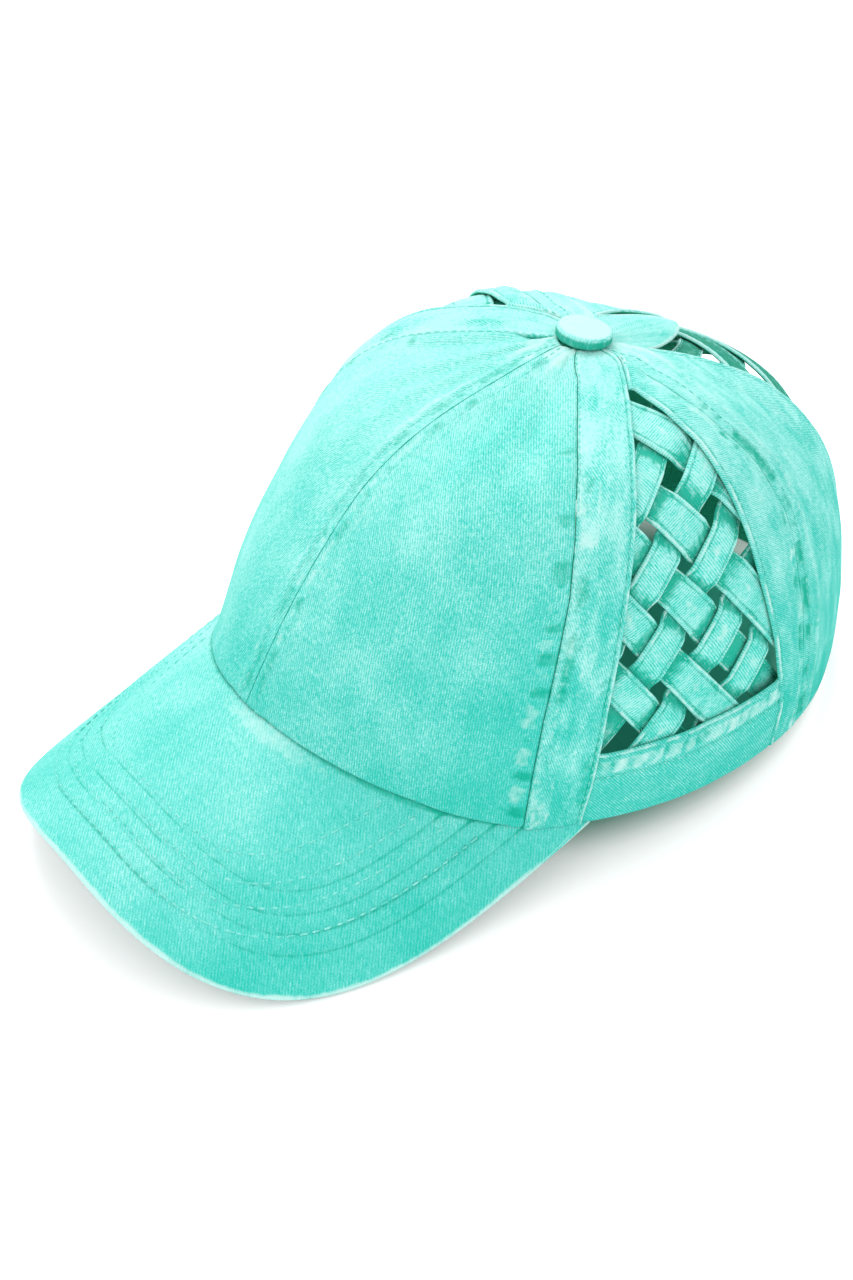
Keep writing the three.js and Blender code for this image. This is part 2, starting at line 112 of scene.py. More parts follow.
def ripple(length, period, seed):
    # uneven waves between -1 and 1 along a seam
    count, away = 512, 100
    values = np.random.default_rng(seed).uniform(-1, 1, count)
    place = np.asarray(length) / period + away
    cell = np.floor(place).astype(int)
    t = smooth(place - cell)
    return values[cell % count] * (1 - t) + values[(cell + 1) % count] * t


# The crown's surface

def peakSheet(x, y):
    return (peak["rimHeight"] + peak["rake"] * (y + crown["frontReach"])
            - peak["archDrop"] * (x / crown["halfWidth"]) ** 2)


def rimHeight(x, y, azimuth):
    run = crown["rearReach"] - peak["hemFlat"] - peakEndY
    share = np.clip((y - peakEndY) / run, 0, 1)
    low = peakSheet(peakEndX, peakEndY)
    return np.where(np.abs(azimuth) <= peak["span"], peakSheet(x, y), low + (tableHeight - low) * share)


def crownPoint(azimuth, climb):
    azimuth, climb = np.broadcast_arrays(np.asarray(azimuth, float), np.asarray(climb, float))
    s = np.sin(np.radians(azimuth))
    c = np.cos(np.radians(azimuth))
    ends = np.where((c > 0)[..., None], rise["front"], rise["rear"])
    mix = np.array(rise["side"]) * (s * s)[..., None] + ends * (c * c)[..., None]
    fullness = mix[..., 0] + np.where(c > 0, 0, 4 * s * s * c * c) * crown["rearQuarter"]
    x = crown["halfWidth"] * s
    y = -np.where(c > 0, crown["frontReach"], crown["rearReach"]) * c
    z = rimHeight(x, y, azimuth)
    cosine = np.maximum(np.cos(climb * np.pi / 2), 1e-9)
    sine = np.maximum(np.sin(climb * np.pi / 2), 1e-9)
    spread = (cosine ** fullness + sine ** fullness) ** (-1 / fullness)
    up = np.where(climb > 0, spread * sine, 0)
    inward = 1 + 4 * mix[..., 1] * up * (1 - up) + mix[..., 2] * np.sin(2 * np.pi * up)
    inward = spread * cosine * inward
    setback = (y - crown["topSetback"]) * inward
    nearTop = np.exp(-((x * inward) ** 2 + setback ** 2) / crown["topTiltReach"] ** 2)
    tilt = np.tan(np.radians(crown["topTilt"])) * setback * nearTop
    return np.stack([x * inward, crown["topSetback"] + setback,
                     z + (crown["height"] - z) * up - tilt], -1)


def crownSlope(azimuth, climb):
    # millimetres for a degree and for a whole climb, and the outward normal
    turn, step = 0.2, 0.002
    low = np.maximum(climb - step, 0)
    high = np.minimum(climb + step, 0.999)
    level = crownPoint(azimuth + turn, climb) - crownPoint(azimuth - turn, climb)
    upward = crownPoint(azimuth, high) - crownPoint(azimuth, low)
    return (np.linalg.norm(level, axis=-1) / (2 * turn),
            np.linalg.norm(upward, axis=-1) / (high - low), unit(np.cross(level, upward)))


def wall(azimuth, climb, off):
    azimuth, climb, off = np.broadcast_arrays(np.asarray(azimuth, float), np.asarray(climb, float), off)
    point = crownPoint(azimuth, climb)
    normal = crownSlope(azimuth, climb)[2]
    # by the rim the cloth grows level, so that its edge stays on the rim's own line
    nearRim = 1 - smooth(climb / 0.025)
    normal[..., 2] *= 1 - nearRim
    out = point + unit(normal) * off[..., None]
    out[..., 2] += nearRim * (rimHeight(out[..., 0], out[..., 1], azimuth)
                              - rimHeight(point[..., 0], point[..., 1], azimuth))
    return out


def at(table, climb):
    return np.interp(climb, table[0], table[1])


def joined(above, change, below):
    # a seam that follows one table above a climb and another below it
    return lambda climb: np.where(climb > change, at(above, climb), at(below, climb))


topClimb = 1 - crown["topHole"] / float(crownSlope(sideMiddle, 0.96)[1])


# Meshes

def linked(name, data):
    item = bpy.data.objects.new(name, data)
    bpy.context.scene.collection.objects.link(item)
    return item


def addPiece(name, points, quads, marks, material, node):
    mesh = bpy.data.meshes.new(name)
    mesh.vertices.add(len(points))
    placed = (points + shift) / 1000
    placed[:, 2] = np.maximum(placed[:, 2], 0)
    mesh.vertices.foreach_set("co", placed.astype(np.float32).ravel())
    mesh.loops.add(quads.size)
    mesh.loops.foreach_set("vertex_index", quads.astype(np.int32).ravel())
    mesh.polygons.add(len(quads))
    mesh.polygons.foreach_set("loop_start", np.arange(0, quads.size, 4, dtype=np.int32))
    mesh.update(calc_edges=True)
    mesh.validate()
    mesh.shade_smooth()
    for key, values in marks.items():
        wide = values.ndim == 2
        layer = mesh.attributes.new(key, "FLOAT_VECTOR" if wide else "FLOAT", "POINT")
        layer.data.foreach_set("vector" if wide else "value", values.astype(np.float32).ravel())
    mesh.materials.append(material)
    piece = linked(name, mesh)
    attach(piece, "root")
    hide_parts(node)


def shell(name, outer, inner, marks, material, node, mirror=False):
    # a closed wall from two grids of points, with the rim between them
    rows, columns = outer.shape[:2]
    points = np.concatenate([outer.reshape(-1, 3), inner.reshape(-1, 3)])
    face = np.arange(rows * columns).reshape(rows, columns)
    back = face + rows * columns

    def sheet(g):
        return np.stack([g[:-1, :-1], g[:-1, 1:], g[1:, 1:], g[1:, :-1]], -1).reshape(-1, 4)

    def rim(a, b):
        return np.stack([b[:-1], b[1:], a[1:], a[:-1]], -1)
    quads = np.concatenate([sheet(face), sheet(back)[:, ::-1],
                            rim(face[0], back[0]), rim(face[-1], back[-1])[:, ::-1],
                            rim(face[:, 0], back[:, 0])[:, ::-1], rim(face[:, -1], back[:, -1])])
    if mirror:
        points = points * [-1, 1, 1]
        quads = quads[:, ::-1]
    flat = {}
    for key, values in marks.items():
        values = np.broadcast_to(values, (rows, columns) + values.shape[2:])
        values = values.reshape((-1,) + values.shape[2:])
        flat[key] = np.concatenate([values, values])
    flat["inside"] = np.repeat([0.0, 1.0], rows * columns)
    addPiece(name, points, quads, flat, material, node)


def shellPair(name, node, outer, inner, marks, material):
    for side in ("left", "right"):
        shell(name + "_" + side, outer, inner, marks, material, node + "_" + side, side == "right")


def rounded(distance, radius):
    return np.sqrt(np.maximum(1 - (1 - np.clip(distance / radius, 0, 1)) ** 2, 0.004))


def gridNormals(grid):
    normal = np.cross(np.gradient(grid, axis=1), np.gradient(grid, axis=0))
    return normal / np.maximum(np.linalg.norm(normal, axis=-1, keepdims=True), 1e-9)


# A panel of the crown between two seams, as columns set out in millimetres from each. Its
# sizes say the step up, the columns by a seam and how many there are between.

rimRows = np.array([0, .15, .4, .8, 1.4, 2.1])
rimRound = 0.6


def panelGrid(left, right, high, size):
    fine = np.linspace(0, high, 400)
    run = runAlong(crownPoint((left(fine) + right(fine)) / 2, fine))
    count = max(int((run[-1] - 2 * rimRows[-1]) / size["step"]), 2)
    ups = np.concatenate([rimRows, np.linspace(rimRows[-1], run[-1] - rimRows[-1], count + 1)[1:-1],
                          run[-1] - rimRows[::-1]])
    climbs = np.interp(ups, run, fine)
    edge = np.array(size["edge"])
    azimuths, fromLeft, fromRight = [], [], []
    for climb in climbs:
        sweep = np.linspace(left(climb), right(climb), 60)
        arc = runAlong(crownPoint(sweep, climb))
        squeeze = min(1, arc[-1] / (2.4 * edge[-1]))
        columns = np.concatenate([edge * squeeze,
                                  np.linspace(edge[-1] * squeeze, arc[-1] - edge[-1] * squeeze,
                                              size["middle"] + 2)[1:-1],
                                  arc[-1] - edge[::-1] * squeeze])
        azimuths.append(np.interp(columns, arc, sweep))
        fromLeft.append(columns)
        fromRight.append(arc[-1] - columns)
    azimuths = np.array(azimuths)
    climbs = np.broadcast_to(climbs[:, None], azimuths.shape)
    up = np.broadcast_to(ups[:, None], azimuths.shape)
    return {"azimuth": azimuths, "climb": climbs, "left": np.array(fromLeft), "low": up,
            "right": np.array(fromRight), "high": run[-1] - up, "base": crownPoint(azimuths, climbs)}


def walls(azimuth, climb, middle, half):
    return wall(azimuth, climb, middle + half), wall(azimuth, climb, middle - half)


def panelWalls(grid, off, leftRound, rightRound, highRound=rimRound):
    half = crown["cloth"] / 2 * (rounded(grid["left"], leftRound) * rounded(grid["right"], rightRound)
                                 * rounded(grid["low"], rimRound) * rounded(grid["high"], highRound))
    return walls(grid["azimuth"], grid["climb"], off - crown["cloth"] / 2, half)


threads = {"crown": [], "peak": [], "straps": [], "back": []}
threadLift = 0.05
pair = (1, -1)


def sew(group, grid, chosen, sides=(1,)):
    # a row of stitches along one column or row of a grid, as points with the way they face
    path = grid[chosen]
    normal = gridNormals(grid)[chosen]
    for side in sides:
        flip = np.array([side, 1, 1])
        threads[group].append(((path + normal * threadLift) * flip, normal * flip))


def nearest(values, wanted):
    return int(np.argmin(np.abs(values - wanted)))


def column(distance, millimetres):
    return slice(None), nearest(distance[len(distance) // 2], millimetres)


def row(distance, millimetres):
    return nearest(distance[:, distance.shape[1] // 2], millimetres), slice(None)


# Finishes

studio = {"floor": 6.0, "key": 11.5, "fill": 3.5, "sky": 1.3, "exposure": 1.42, "glow": 0.2,
          "underHat": (0.078, 0.101), "underHatY": 0.038, "paintedShadeTo": 0.76, "aim": (0, 0, 0.05),
          "paintedShade": (0.012, 0.23, 0.16, 1), "pale": (0.93, 0.93, 0.93, 1)}


def dyed(red, green, blue):
    # a colour as it looks under the studio's light, 0 to 255, turned into the cloth's own
    return tuple((v / 12.92 if v <= 0.04045 else ((v + 0.055) / 1.055) ** 2.4) / studio["exposure"]
                 for v in (red / 255, green / 255, blue / 255)) + (1.0,)


def nodeMaker(tree):
    def make(kind, sockets=None, **settings):
        item = tree.nodes.new(kind)
        for key, value in settings.items():
            setattr(item, key, value)
        for key, value in (sockets or {}).items():
            if isinstance(value, bpy.types.NodeSocket):
                tree.links.new(value, item.inputs[key])
            else:
                item.inputs[key].default_value = value
        return item
    return make


def newMaterial(name):
    material = bpy.data.materials.new(name)
    material.use_nodes = True
    return material, material.node_tree, nodeMaker(material.node_tree)


def washedCloth(name, look):
    material, tree, make = newMaterial(name)
    tree.nodes.clear()
    grain = make("ShaderNodeAttribute", attribute_name="grain").outputs["Vector"]
    place = make("ShaderNodeTexCoord").outputs["Object"]
    marks = {key: make("ShaderNodeAttribute", attribute_name=key).outputs["Fac"]
             for key in ("wear", "stainAndShade", "inside")}

    def maths(operation, a, b, c=0.0):
        return make("ShaderNodeMath", {0: a, 1: b, 2: c}, operation=operation).outputs[0]

    def noise(vector, size, detail, rough=0.5):
        # size in the vector's own unit
        return make("ShaderNodeTexNoise", {"Vector": vector, "Scale": 1 / size, "Detail": detail,
                                           "Roughness": rough}).outputs["Fac"]

    def blend(factor, first, second):
        return make("ShaderNodeMix", {0: factor, 6: first, 7: second}, data_type="RGBA").outputs[2]

    def patches(mark, rubbed, most):
        # a mark drawn on the mesh, broken up by the cloth's rubbed grain
        broken = maths("MULTIPLY_ADD", rub, rubbed * look["rubGain"], mark)
        return make("ShaderNodeMapRange", {"Value": broken, "From Min": look["patchFrom"],
                                           "From Max": look["patchFull"],
                                           "To Max": most}).outputs["Result"]

    clouds = noise(place, look["cloudSize"] / 1000, 3.0, 0.55)
    mottle = noise(grain, look["mottleSize"], 3.0, 0.6)
    speck = noise(grain, look["speckSize"], 2.0, 0.7)
    parts = make("ShaderNodeSeparateXYZ", {0: grain})
    slant = maths("MULTIPLY_ADD", parts.outputs["Y"], look["twill"], parts.outputs["X"])
    wander = maths("MULTIPLY_ADD", mottle, look["wander"], slant)
    wave = maths("SINE", maths("MULTIPLY", wander, 2 * np.pi / look["ribPitch"]), 0.0)
    streak = make("ShaderNodeTexNoise", {"Vector": make("ShaderNodeCombineXYZ", {
        "X": maths("MULTIPLY", slant, 1.7 / look["ribPitch"]),
        "Y": maths("MULTIPLY", parts.outputs["Y"], 1 / look["streakLength"]), "Z": 0.0}).outputs[0],
        "Scale": 1.0, "Detail": 1.0}).outputs["Fac"]
    tall = make("ShaderNodeVectorMath", {0: grain, 1: (1.0, 0.36, 1.0)}, operation="MULTIPLY")
    blotch = noise(tall.outputs[0], look["blotchSize"], 2.0, 0.5)

    tone = maths("MULTIPLY_ADD", wave, look["ribGain"], 0.5)
    for source, gain in ((clouds, "cloudGain"), (mottle, "mottleGain"), (speck, "speckGain"),
                         (streak, "streakGain"), (blotch, "blotchGain")):
        tone = maths("MULTIPLY_ADD", maths("SUBTRACT", source, 0.5), look[gain], tone)
    # painted light: paler toward the top and toward the wearer's right, the side the key light falls on
    where = make("ShaderNodeSeparateXYZ", {0: place})
    tone = maths("ADD", tone, maths("MULTIPLY_ADD", where.outputs["Z"],
                                    look["topFade"] / look["paintedLightHeight"],
                                    look["base"] - look["topFade"]))
    tone = maths("MULTIPLY_ADD", where.outputs["X"], -look["paintedSideLight"] / look["paintedLightHalf"], tone)
    ramp = make("ShaderNodeValToRGB", {0: tone})
    steps = ramp.color_ramp.elements
    steps[0].position, steps[0].color = 0.18, look["deep"]
    steps[1].position, steps[1].color = 0.82, look["pale"]
    steps.new(0.5).color = look["mid"]

    rub = maths("SUBTRACT", noise(grain, 2.6, 4.0, 0.7), 0.5)
    # the deep mark blends toward the deep colour: dye blotches, and painted shade in seams, grooves and
    # under other pieces
    colour = blend(patches(marks["stainAndShade"], -1, look["stainAndShadeMost"]), ramp.outputs["Color"], look["stainAndShade"])
    colour = blend(patches(marks["wear"], 1, look["wornMost"]), colour, look["worn"])
    colour = blend(marks["inside"], colour, look["lining"])

    height = maths("MULTIPLY_ADD", wave, 0.32, maths("MULTIPLY_ADD", speck, 1.3, mottle))
    bump = make("ShaderNodeBump", {"Height": height, "Strength": look["bump"],
                                   "Distance": look["bumpDepth"]})
    shader = make("ShaderNodeBsdfPrincipled", {"Base Color": colour, "Roughness": look["roughness"],
                                               "Specular IOR Level": look["sheen"],
                                               "Sheen Weight": look["sheen"], "Sheen Roughness": 0.5,
                                               "Normal": bump.outputs["Normal"]})
    out = make("ShaderNodeOutputMaterial")
    tree.links.new(shader.outputs[0], out.inputs["Surface"])
    return material


twillLook = {"cloudSize": 26.0, "cloudGain": 0.6, "mottleSize": 1.2, "mottleGain": 0.5,
             "speckSize": 0.36, "speckGain": 1.25, "streakGain": 0.7, "streakLength": 1.6,
             "ribGain": 0.12, "ribPitch": 0.72, "twill": 0.0, "wander": 0.4, "bump": 0.6,
             "blotchSize": 5.0, "blotchGain": 0.25, "rubGain": 1.6,
             # the top and side terms are painted light, paler toward the top and the wearer's right
             "topFade": 0.18, "paintedLightHeight": 0.06, "paintedSideLight": 0.13, "paintedLightHalf": 0.07, "base": 0.03,
             "patchFrom": 0.4, "patchFull": 0.95, "stainAndShadeMost": 0.9, "wornMost": 0.92,
             "roughness": 0.92, "sheen": 0.03, "bumpDepth": 0.00016,
             "deep": dyed(48, 205, 187), "mid": dyed(108, 225, 213), "pale": dyed(180, 248, 241),
             "stainAndShade": dyed(14, 184, 156), "worn": dyed(203, 249, 243),
             "lining": dyed(52, 196, 158)}
panelCloth = washedCloth("washed_twill", dict(twillLook, base=-0.02, rubGain=1.0))
peakCloth = washedCloth("peak_twill", dict(twillLook, cloudSize=34.0, twill=1.0, ribPitch=1.15,
                                           ribGain=0.08, speckGain=0.9, mottleGain=0.45, blotchGain=0.1,
                                           streakGain=0.42, base=0.1, rubGain=0.9,
                                           lining=dyed(84, 150, 138)))
stripCloth = washedCloth("strip_twill", dict(twillLook, twill=0.5, ribGain=0.11, streakGain=0.75,
                                             base=0.08, cloudSize=14.0, blotchGain=1.0, rubGain=1.6))
rearLook = dict(twillLook, twill=1.2, ribGain=0.2, ribPitch=0.95, wander=0.25, streakGain=0.7,
                base=0.06, cloudSize=14.0, blotchGain=0.75, rubGain=1.4, streakLength=2.0)
rearCloth = washedCloth("rear_twill", rearLook)
bandCloth = washedCloth("band_twill", dict(rearLook, twill=1.0, blotchGain=0.4, base=0.1,
                                           rubGain=1.2))
strapCloth = washedCloth("strap_twill", dict(twillLook, twill=0.25, ribGain=0.17, ribPitch=0.8,
                                             cloudSize=7.0, cloudGain=0.7, base=0.2, blotchGain=0.6,
                                             rubGain=1.6, streakGain=0.6, topFade=0.1,
                                             deep=dyed(40, 206, 184), mid=dyed(104, 230, 216)))
buttonCloth = washedCloth("button_twill", dict(twillLook, cloudSize=8.0, cloudGain=0.3, speckGain=0.9,
                                               rubGain=0.9))
# the crossing straps' deep colour is a painted dark green shade, for faces that lie in the opening's
# shade
crossingShadedCloth = washedCloth("crossing_twill_painted_shade", dict(twillLook, rubGain=0.8, stainAndShade=dyed(10, 142, 112)))


def threadFinish():
    material, tree, make = newMaterial("mint_thread")
    shader = tree.nodes["Principled BSDF"]
    place = make("ShaderNodeTexCoord").outputs["Object"]
    fleck = make("ShaderNodeTexNoise", {"Vector": place, "Scale": 900.0, "Detail": 2.0})
    ramp = make("ShaderNodeValToRGB", {0: fleck.outputs["Fac"]})
    ramp.color_ramp.elements[0].position = 0.35
    ramp.color_ramp.elements[0].color = dyed(84, 220, 203)
    ramp.color_ramp.elements[1].position = 0.7
    ramp.color_ramp.elements[1].color = dyed(165, 246, 238)
    twist = make("ShaderNodeTexWave", {"Vector": place, "Scale": 1400.0, "Distortion": 2.0},
                 bands_direction="DIAGONAL")
    bump = make("ShaderNodeBump", {"Height": twist.outputs["Fac"], "Strength": 0.4, "Distance": 0.0001})
    tree.links.new(ramp.outputs["Color"], shader.inputs["Base Color"])
    tree.links.new(bump.outputs["Normal"], shader.inputs["Normal"])
    shader.inputs["Roughness"].default_value = 0.85
    shader.inputs["Specular IOR Level"].default_value = 0.15
    return material


threadCloth = threadFinish()
print("finishes made")

# Front panels: the centre seam with its two stitched bands, and the seam under the strip

frontSizes = {"step": 1.15, "middle": 46, "bandHeight": 0.45, "stitchAt": 3.5, "bandWidth": 4.5,
              "pucker": 4.6, "ridgeAt": 5.4, "ridgeWidth": 1.3, "foldTurn": 7.5, "foldHeight": 1.1,
              "lumpSize": 32, "lumpHeight": 0.9, "besidePitch": 11, "besideFade": 90,
              "seamRound": 0.12,
              "edge": (0, .12, .3, .6, 1, 1.5, 2, 2.5, 3, 3.5, 3.9, 4.3, 4.8, 5.5, 6.6, 8)}


def marksOf(u, v, seed, wear, stainAndShade):
    # where the points lie on their cloth, how worn they are, and how much deep dye and painted shade they
    # take
    move = np.random.default_rng(seed).uniform(-40, 40, 2)
    u, v = np.broadcast_arrays(u + move[0], v + move[1])
    return {"grain": np.stack([u, v, np.zeros_like(u)], -1), "wear": wear, "stainAndShade": stainAndShade}


# On every piece of cloth wear marks where the dye is rubbed away, and a second mark where the dye stays
# deep in blotches and where shade is painted along seam gaps, stitch grooves, joints and under other
# pieces, both from 0 to 1. d and e are the millimetres from the two seams, up those from the rim.

def lapFade(climb):
    return smooth(climb / 0.1) * (1 - 0.8 * smooth((climb - latticeTop) / 0.15))


def calmTop(climb):
    return 1 - 0.8 * smooth((climb - 0.7) / 0.1)


def frontPanel(side, mirror, seed):
    size = frontSizes
    grid = panelGrid(np.zeros_like, lambda climb: at(frontSeam, climb) - 0.05, topClimb, size)
    base, d, e, up, climb = (grid[key] for key in ("base", "left", "right", "low", "climb"))
    band = smooth((size["bandWidth"] + 0.6 - d) / 1.2)
    fades = smooth(up / 6) * smooth(grid["high"] / 8)
    low = 1 - smooth(up / size["besideFade"])
    beside = 0.8 * np.sin((up + 4 * ripple(up, 14, 14)) * 2 * np.pi / size["besidePitch"])
    beside += 0.7 * ripple(up, 4.2, 20) - 0.1
    lines = ripple(up, size["pucker"], seed) + 0.6 * ripple(up, 2.3, seed + 1)
    folds = ripple(grid["azimuth"] + 3 * ripple(up, 22, seed + 2), size["foldTurn"], seed + 3)
    off = size["bandHeight"] * band - 0.3 * hump(d, size["stitchAt"], 0.45)
    off += 0.38 * lines * hump(d, 2.0, 1.5) * fades
    off += 0.35 * ripple(up, 4.2, seed + 4) * hump(d, 5.6, 2.2)
    off += 0.3 * hump(d, size["ridgeAt"], size["ridgeWidth"])
    slack = smooth((climb - 0.4) / 0.35) * smooth(grid["high"] / 9)
    off += size["foldHeight"] * folds * slack * smooth(d / 8)
    off += 0.25 * smooth((5.5 - e) / 2) * smooth((e - 0.2) / 1.2) - 0.2 * hump(e, 4.4, 0.6)
    off += (0.25 + 0.3 * low) * beside * hump(e, 2.8, 1.8) * fades
    off += size["lumpHeight"] * cloud(base, size["lumpSize"], 15) * smooth(d / 12) * smooth(e / 12)
    off += 0.18 * cloud(base, 9, 16)
    off -= 0.4 * smooth((1.4 - up) / 1.4)
    wear = 0.55 * hump(d, size["ridgeAt"], size["ridgeWidth"]) * smooth(0.65 + ripple(up, 6, seed + 5))
    wear += 0.65 * hump(d, 1.6, 1.3) * smooth(0.25 - lines) + 0.4 * smooth((climb - 0.84) / 0.12)
    wear += 0.4 * smooth(folds) * smooth((climb - 0.5) / 0.3) * smooth(d / 8)
    wear += 0.15 * hump(e, 6.5, 2.6)
    wear += 0.58 * smooth(-beside * 1.5) * hump(e, 3.4, 3.6) * (0.6 + 0.4 * low) * fades
    stainAndShade = 0.66 * smooth((lines + 0.5) * 1.3) * hump(d, 2.2, 1.6) * fades
    # painted shade in the stitch groove
    stainAndShade += 0.2 * hump(d, size["stitchAt"], 0.35)
    stainAndShade += 0.3 * smooth(ripple(up, 5, seed + 6) * 1.5) * hump(d, 7.6, 1.6)
    deepened = (0.7 + 0.35 * low) * (1 - 0.6 * smooth((climb - 0.7) / 0.2))
    stainAndShade += deepened * smooth(beside * 1.8 + 0.1) * hump(e, 3.0, 3.8)
    # painted shade along the centre seam, in the gap under the strip's edge, and along the rim where the
    # peak meets it
    stainAndShade += 0.95 * hump(d, 0, 0.22) + 0.9 * hump(e, 0, 0.3) + 0.8 * hump(up, 0, 1.0)
    outer, inner = panelWalls(grid, off, size["seamRound"], size["seamRound"])
    marks = marksOf(e, up, seed + 7, wear, stainAndShade)
    shell("frontPanel_" + side, outer, inner, marks, panelCloth,
          "front_panel_" + side, mirror)
    sew("crown", outer, column(d, size["stitchAt"]), (-1 if mirror else 1,))


def sideStrip():
    size = {"step": 1.15, "middle": 36, "stitchFront": 0.7, "stitchRear": 1.5, "seamRound": 0.25,
            "lapRound": 0.7, "edge": (0, .1, .25, .5, .9, 1.3, 1.5, 1.8, 2.3, 3, 4)}
    grid = panelGrid(lambda climb: at(frontSeam, climb), lambda climb: at(stripRear, climb),
                     topClimb, size)
    base, d, e, up, climb = (grid[key] for key in ("base", "left", "right", "low", "climb"))
    share = d / (d + e)
    off = lapLift * smooth(2 * share) * lapFade(climb)
    off += 0.35 * smooth((3.2 - d) / 2.4) * smooth((d + 0.2) / 0.5)
    off -= 0.12 * hump(d, size["stitchFront"], 0.3)
    off += 0.22 * hump(e, 0.7, 0.6) - 0.22 * hump(e, size["stitchRear"], 0.35)
    off += 0.22 * ripple(up, 8.5, 21) * hump(d, 3.5, 2.4) + 0.12 * ripple(up, 4, 22) * hump(e, 2.6, 1.6)
    off += 0.16 * cloud(base, 10, 23)
    blots = ripple(up, 9.5, 25) + 0.4 * ripple(up, 4, 28)
    streaks = ripple(d + 0.8 * ripple(up, 18, 29), 1.3, 19) * smooth(d / 2) * smooth((e - 2) / 2)
    wear = 0.45 * hump(d, 0.8, 0.6) * smooth(0.8 + ripple(up, 4, 24))
    wear += 0.25 * smooth(cloud(base, 14, 24) * 2)
    wear += 0.8 * hump(e, 0.6, 0.5) * smooth(0.9 + ripple(up, 5, 30))
    wear += 0.6 * smooth(0.2 - blots * 1.2) * hump(d, 3.6, 3)
    wear += 0.3 * smooth((climb - 0.84) / 0.12)
    wear += 0.4 * smooth(streaks + 0.2)
    stainAndShade = 0.75 * smooth((blots + 0.3) * 1.4) * hump(d, 3.2, 2.6)
    stainAndShade += 0.6 * smooth(ripple(up, 11, 26) + 0.4) * hump(e, 3.3, 1.8)
    stainAndShade *= 1 - 0.7 * smooth((climb - 0.5) / 0.3)
    # painted shade in the rear stitch groove and along both seam edges
    stainAndShade += 0.9 * hump(e, size["stitchRear"] + 0.1, 0.35)
    stainAndShade += 0.7 * hump(d, 0, 0.25) + 0.6 * hump(e, 0, 0.2)
    outer, inner = panelWalls(grid, off, size["seamRound"], size["lapRound"])
    marks = marksOf(d, up, 27, wear, stainAndShade)
    shellPair("sideStrip", "side_strip", outer, inner, marks, stripCloth)
    sew("crown", outer, column(d, size["stitchFront"]), pair)
    sew("crown", outer, column(e, size["stitchRear"]), pair)


# The side lattice on its unrolled map: along is level, up is from the rim

arcClimbs = np.linspace(0, 1, 201)
arcTable = runAlong(crownPoint(sideMiddle, arcClimbs))
sideArc = arcTable[-1]
bandHeight = 26.0
lap = 4.0
bandTop = float(np.interp(bandHeight, arcTable, arcClimbs))


def unrolled(along, up):
    climb = np.interp(up, arcTable, arcClimbs)
    return sideMiddle + along / crownSlope(sideMiddle, climb)[0], climb


def lowerBand():
    size = {"step": 0.8, "middle": 200, "stitch": 1.6, "secondStitch": 8.2, "tuckTurn": 0.3,
            "hemBulge": 0.4, "pleat": 0.42, "liftShare": 0.667, "tuck": 0.45, "tuckReach": 2.5,
            "sideRound": 0.5, "hemRound": 0.7, "edge": (0, .15, .4, .8, 1.4, 2.2)}
    grid = panelGrid(lambda climb: at(stripRear, climb) - size["tuckTurn"],
                     lambda climb: at(latticeRear, climb) + size["tuckTurn"], bandTop, size)
    base, top, up, across = (grid[key] for key in ("base", "high", "low", "left"))
    off = lapLift * smooth(grid["climb"] / (size["liftShare"] * bandTop))
    for toSide in (across, grid["right"]):
        off -= size["tuck"] * smooth((size["tuckReach"] - toSide) / size["tuckReach"])
    off += 0.4 * hump(top, 0.7, 0.7) - 0.3 * hump(top, size["stitch"], 0.4)
    slanted = across + 0.35 * top
    pucker = ripple(slanted, 1.7, 31) + 0.6 * ripple(across, 4.5, 32)
    off += size["pleat"] * pucker * hump(top, 3.4, 2.0) + size["hemBulge"] * hump(top, 5.4, 1.4)
    off -= size["hemBulge"] * hump(top, size["secondStitch"], 0.8)
    off += 0.25 * cloud(base, 9, 33) - 0.3 * smooth((1.2 - up) / 1.2)
    wear = 0.85 * hump(top, 0.5, 0.5) * smooth(1 + ripple(across, 4, 37))
    wear += (0.62 + 0.2 * pucker) * smooth((top - 1.8) / 0.8) * smooth((8.6 - top) / 2.4)
    wear += 0.2 * hump(up, 0.8, 0.8)
    # darker between the puckers; painted shade in both stitch grooves; darker just above the rim and
    # where the band tucks under its neighbours
    stainAndShade = 0.6 * smooth(-pucker * 1.8) * hump(top, 3.8, 2.6) + 0.75 * hump(top, size["stitch"], 0.4)
    stainAndShade += 0.6 * hump(top, size["secondStitch"] + 0.3, 0.9) + 0.5 * hump(up, 2.6, 0.8)
    stainAndShade += 0.5 * smooth(0.4 + ripple(across, 8, 36)) * hump(across, 1.5, 2.5)
    outer, inner = panelWalls(grid, off, size["sideRound"], size["sideRound"], size["hemRound"])
    marks = marksOf(up, across, 34, wear, stainAndShade)
    shellPair("lowerBand", "lower_band", outer, inner, marks, bandCloth)
    for key in ("stitch", "secondStitch"):
        sew("crown", outer, row(top, size[key]), pair)


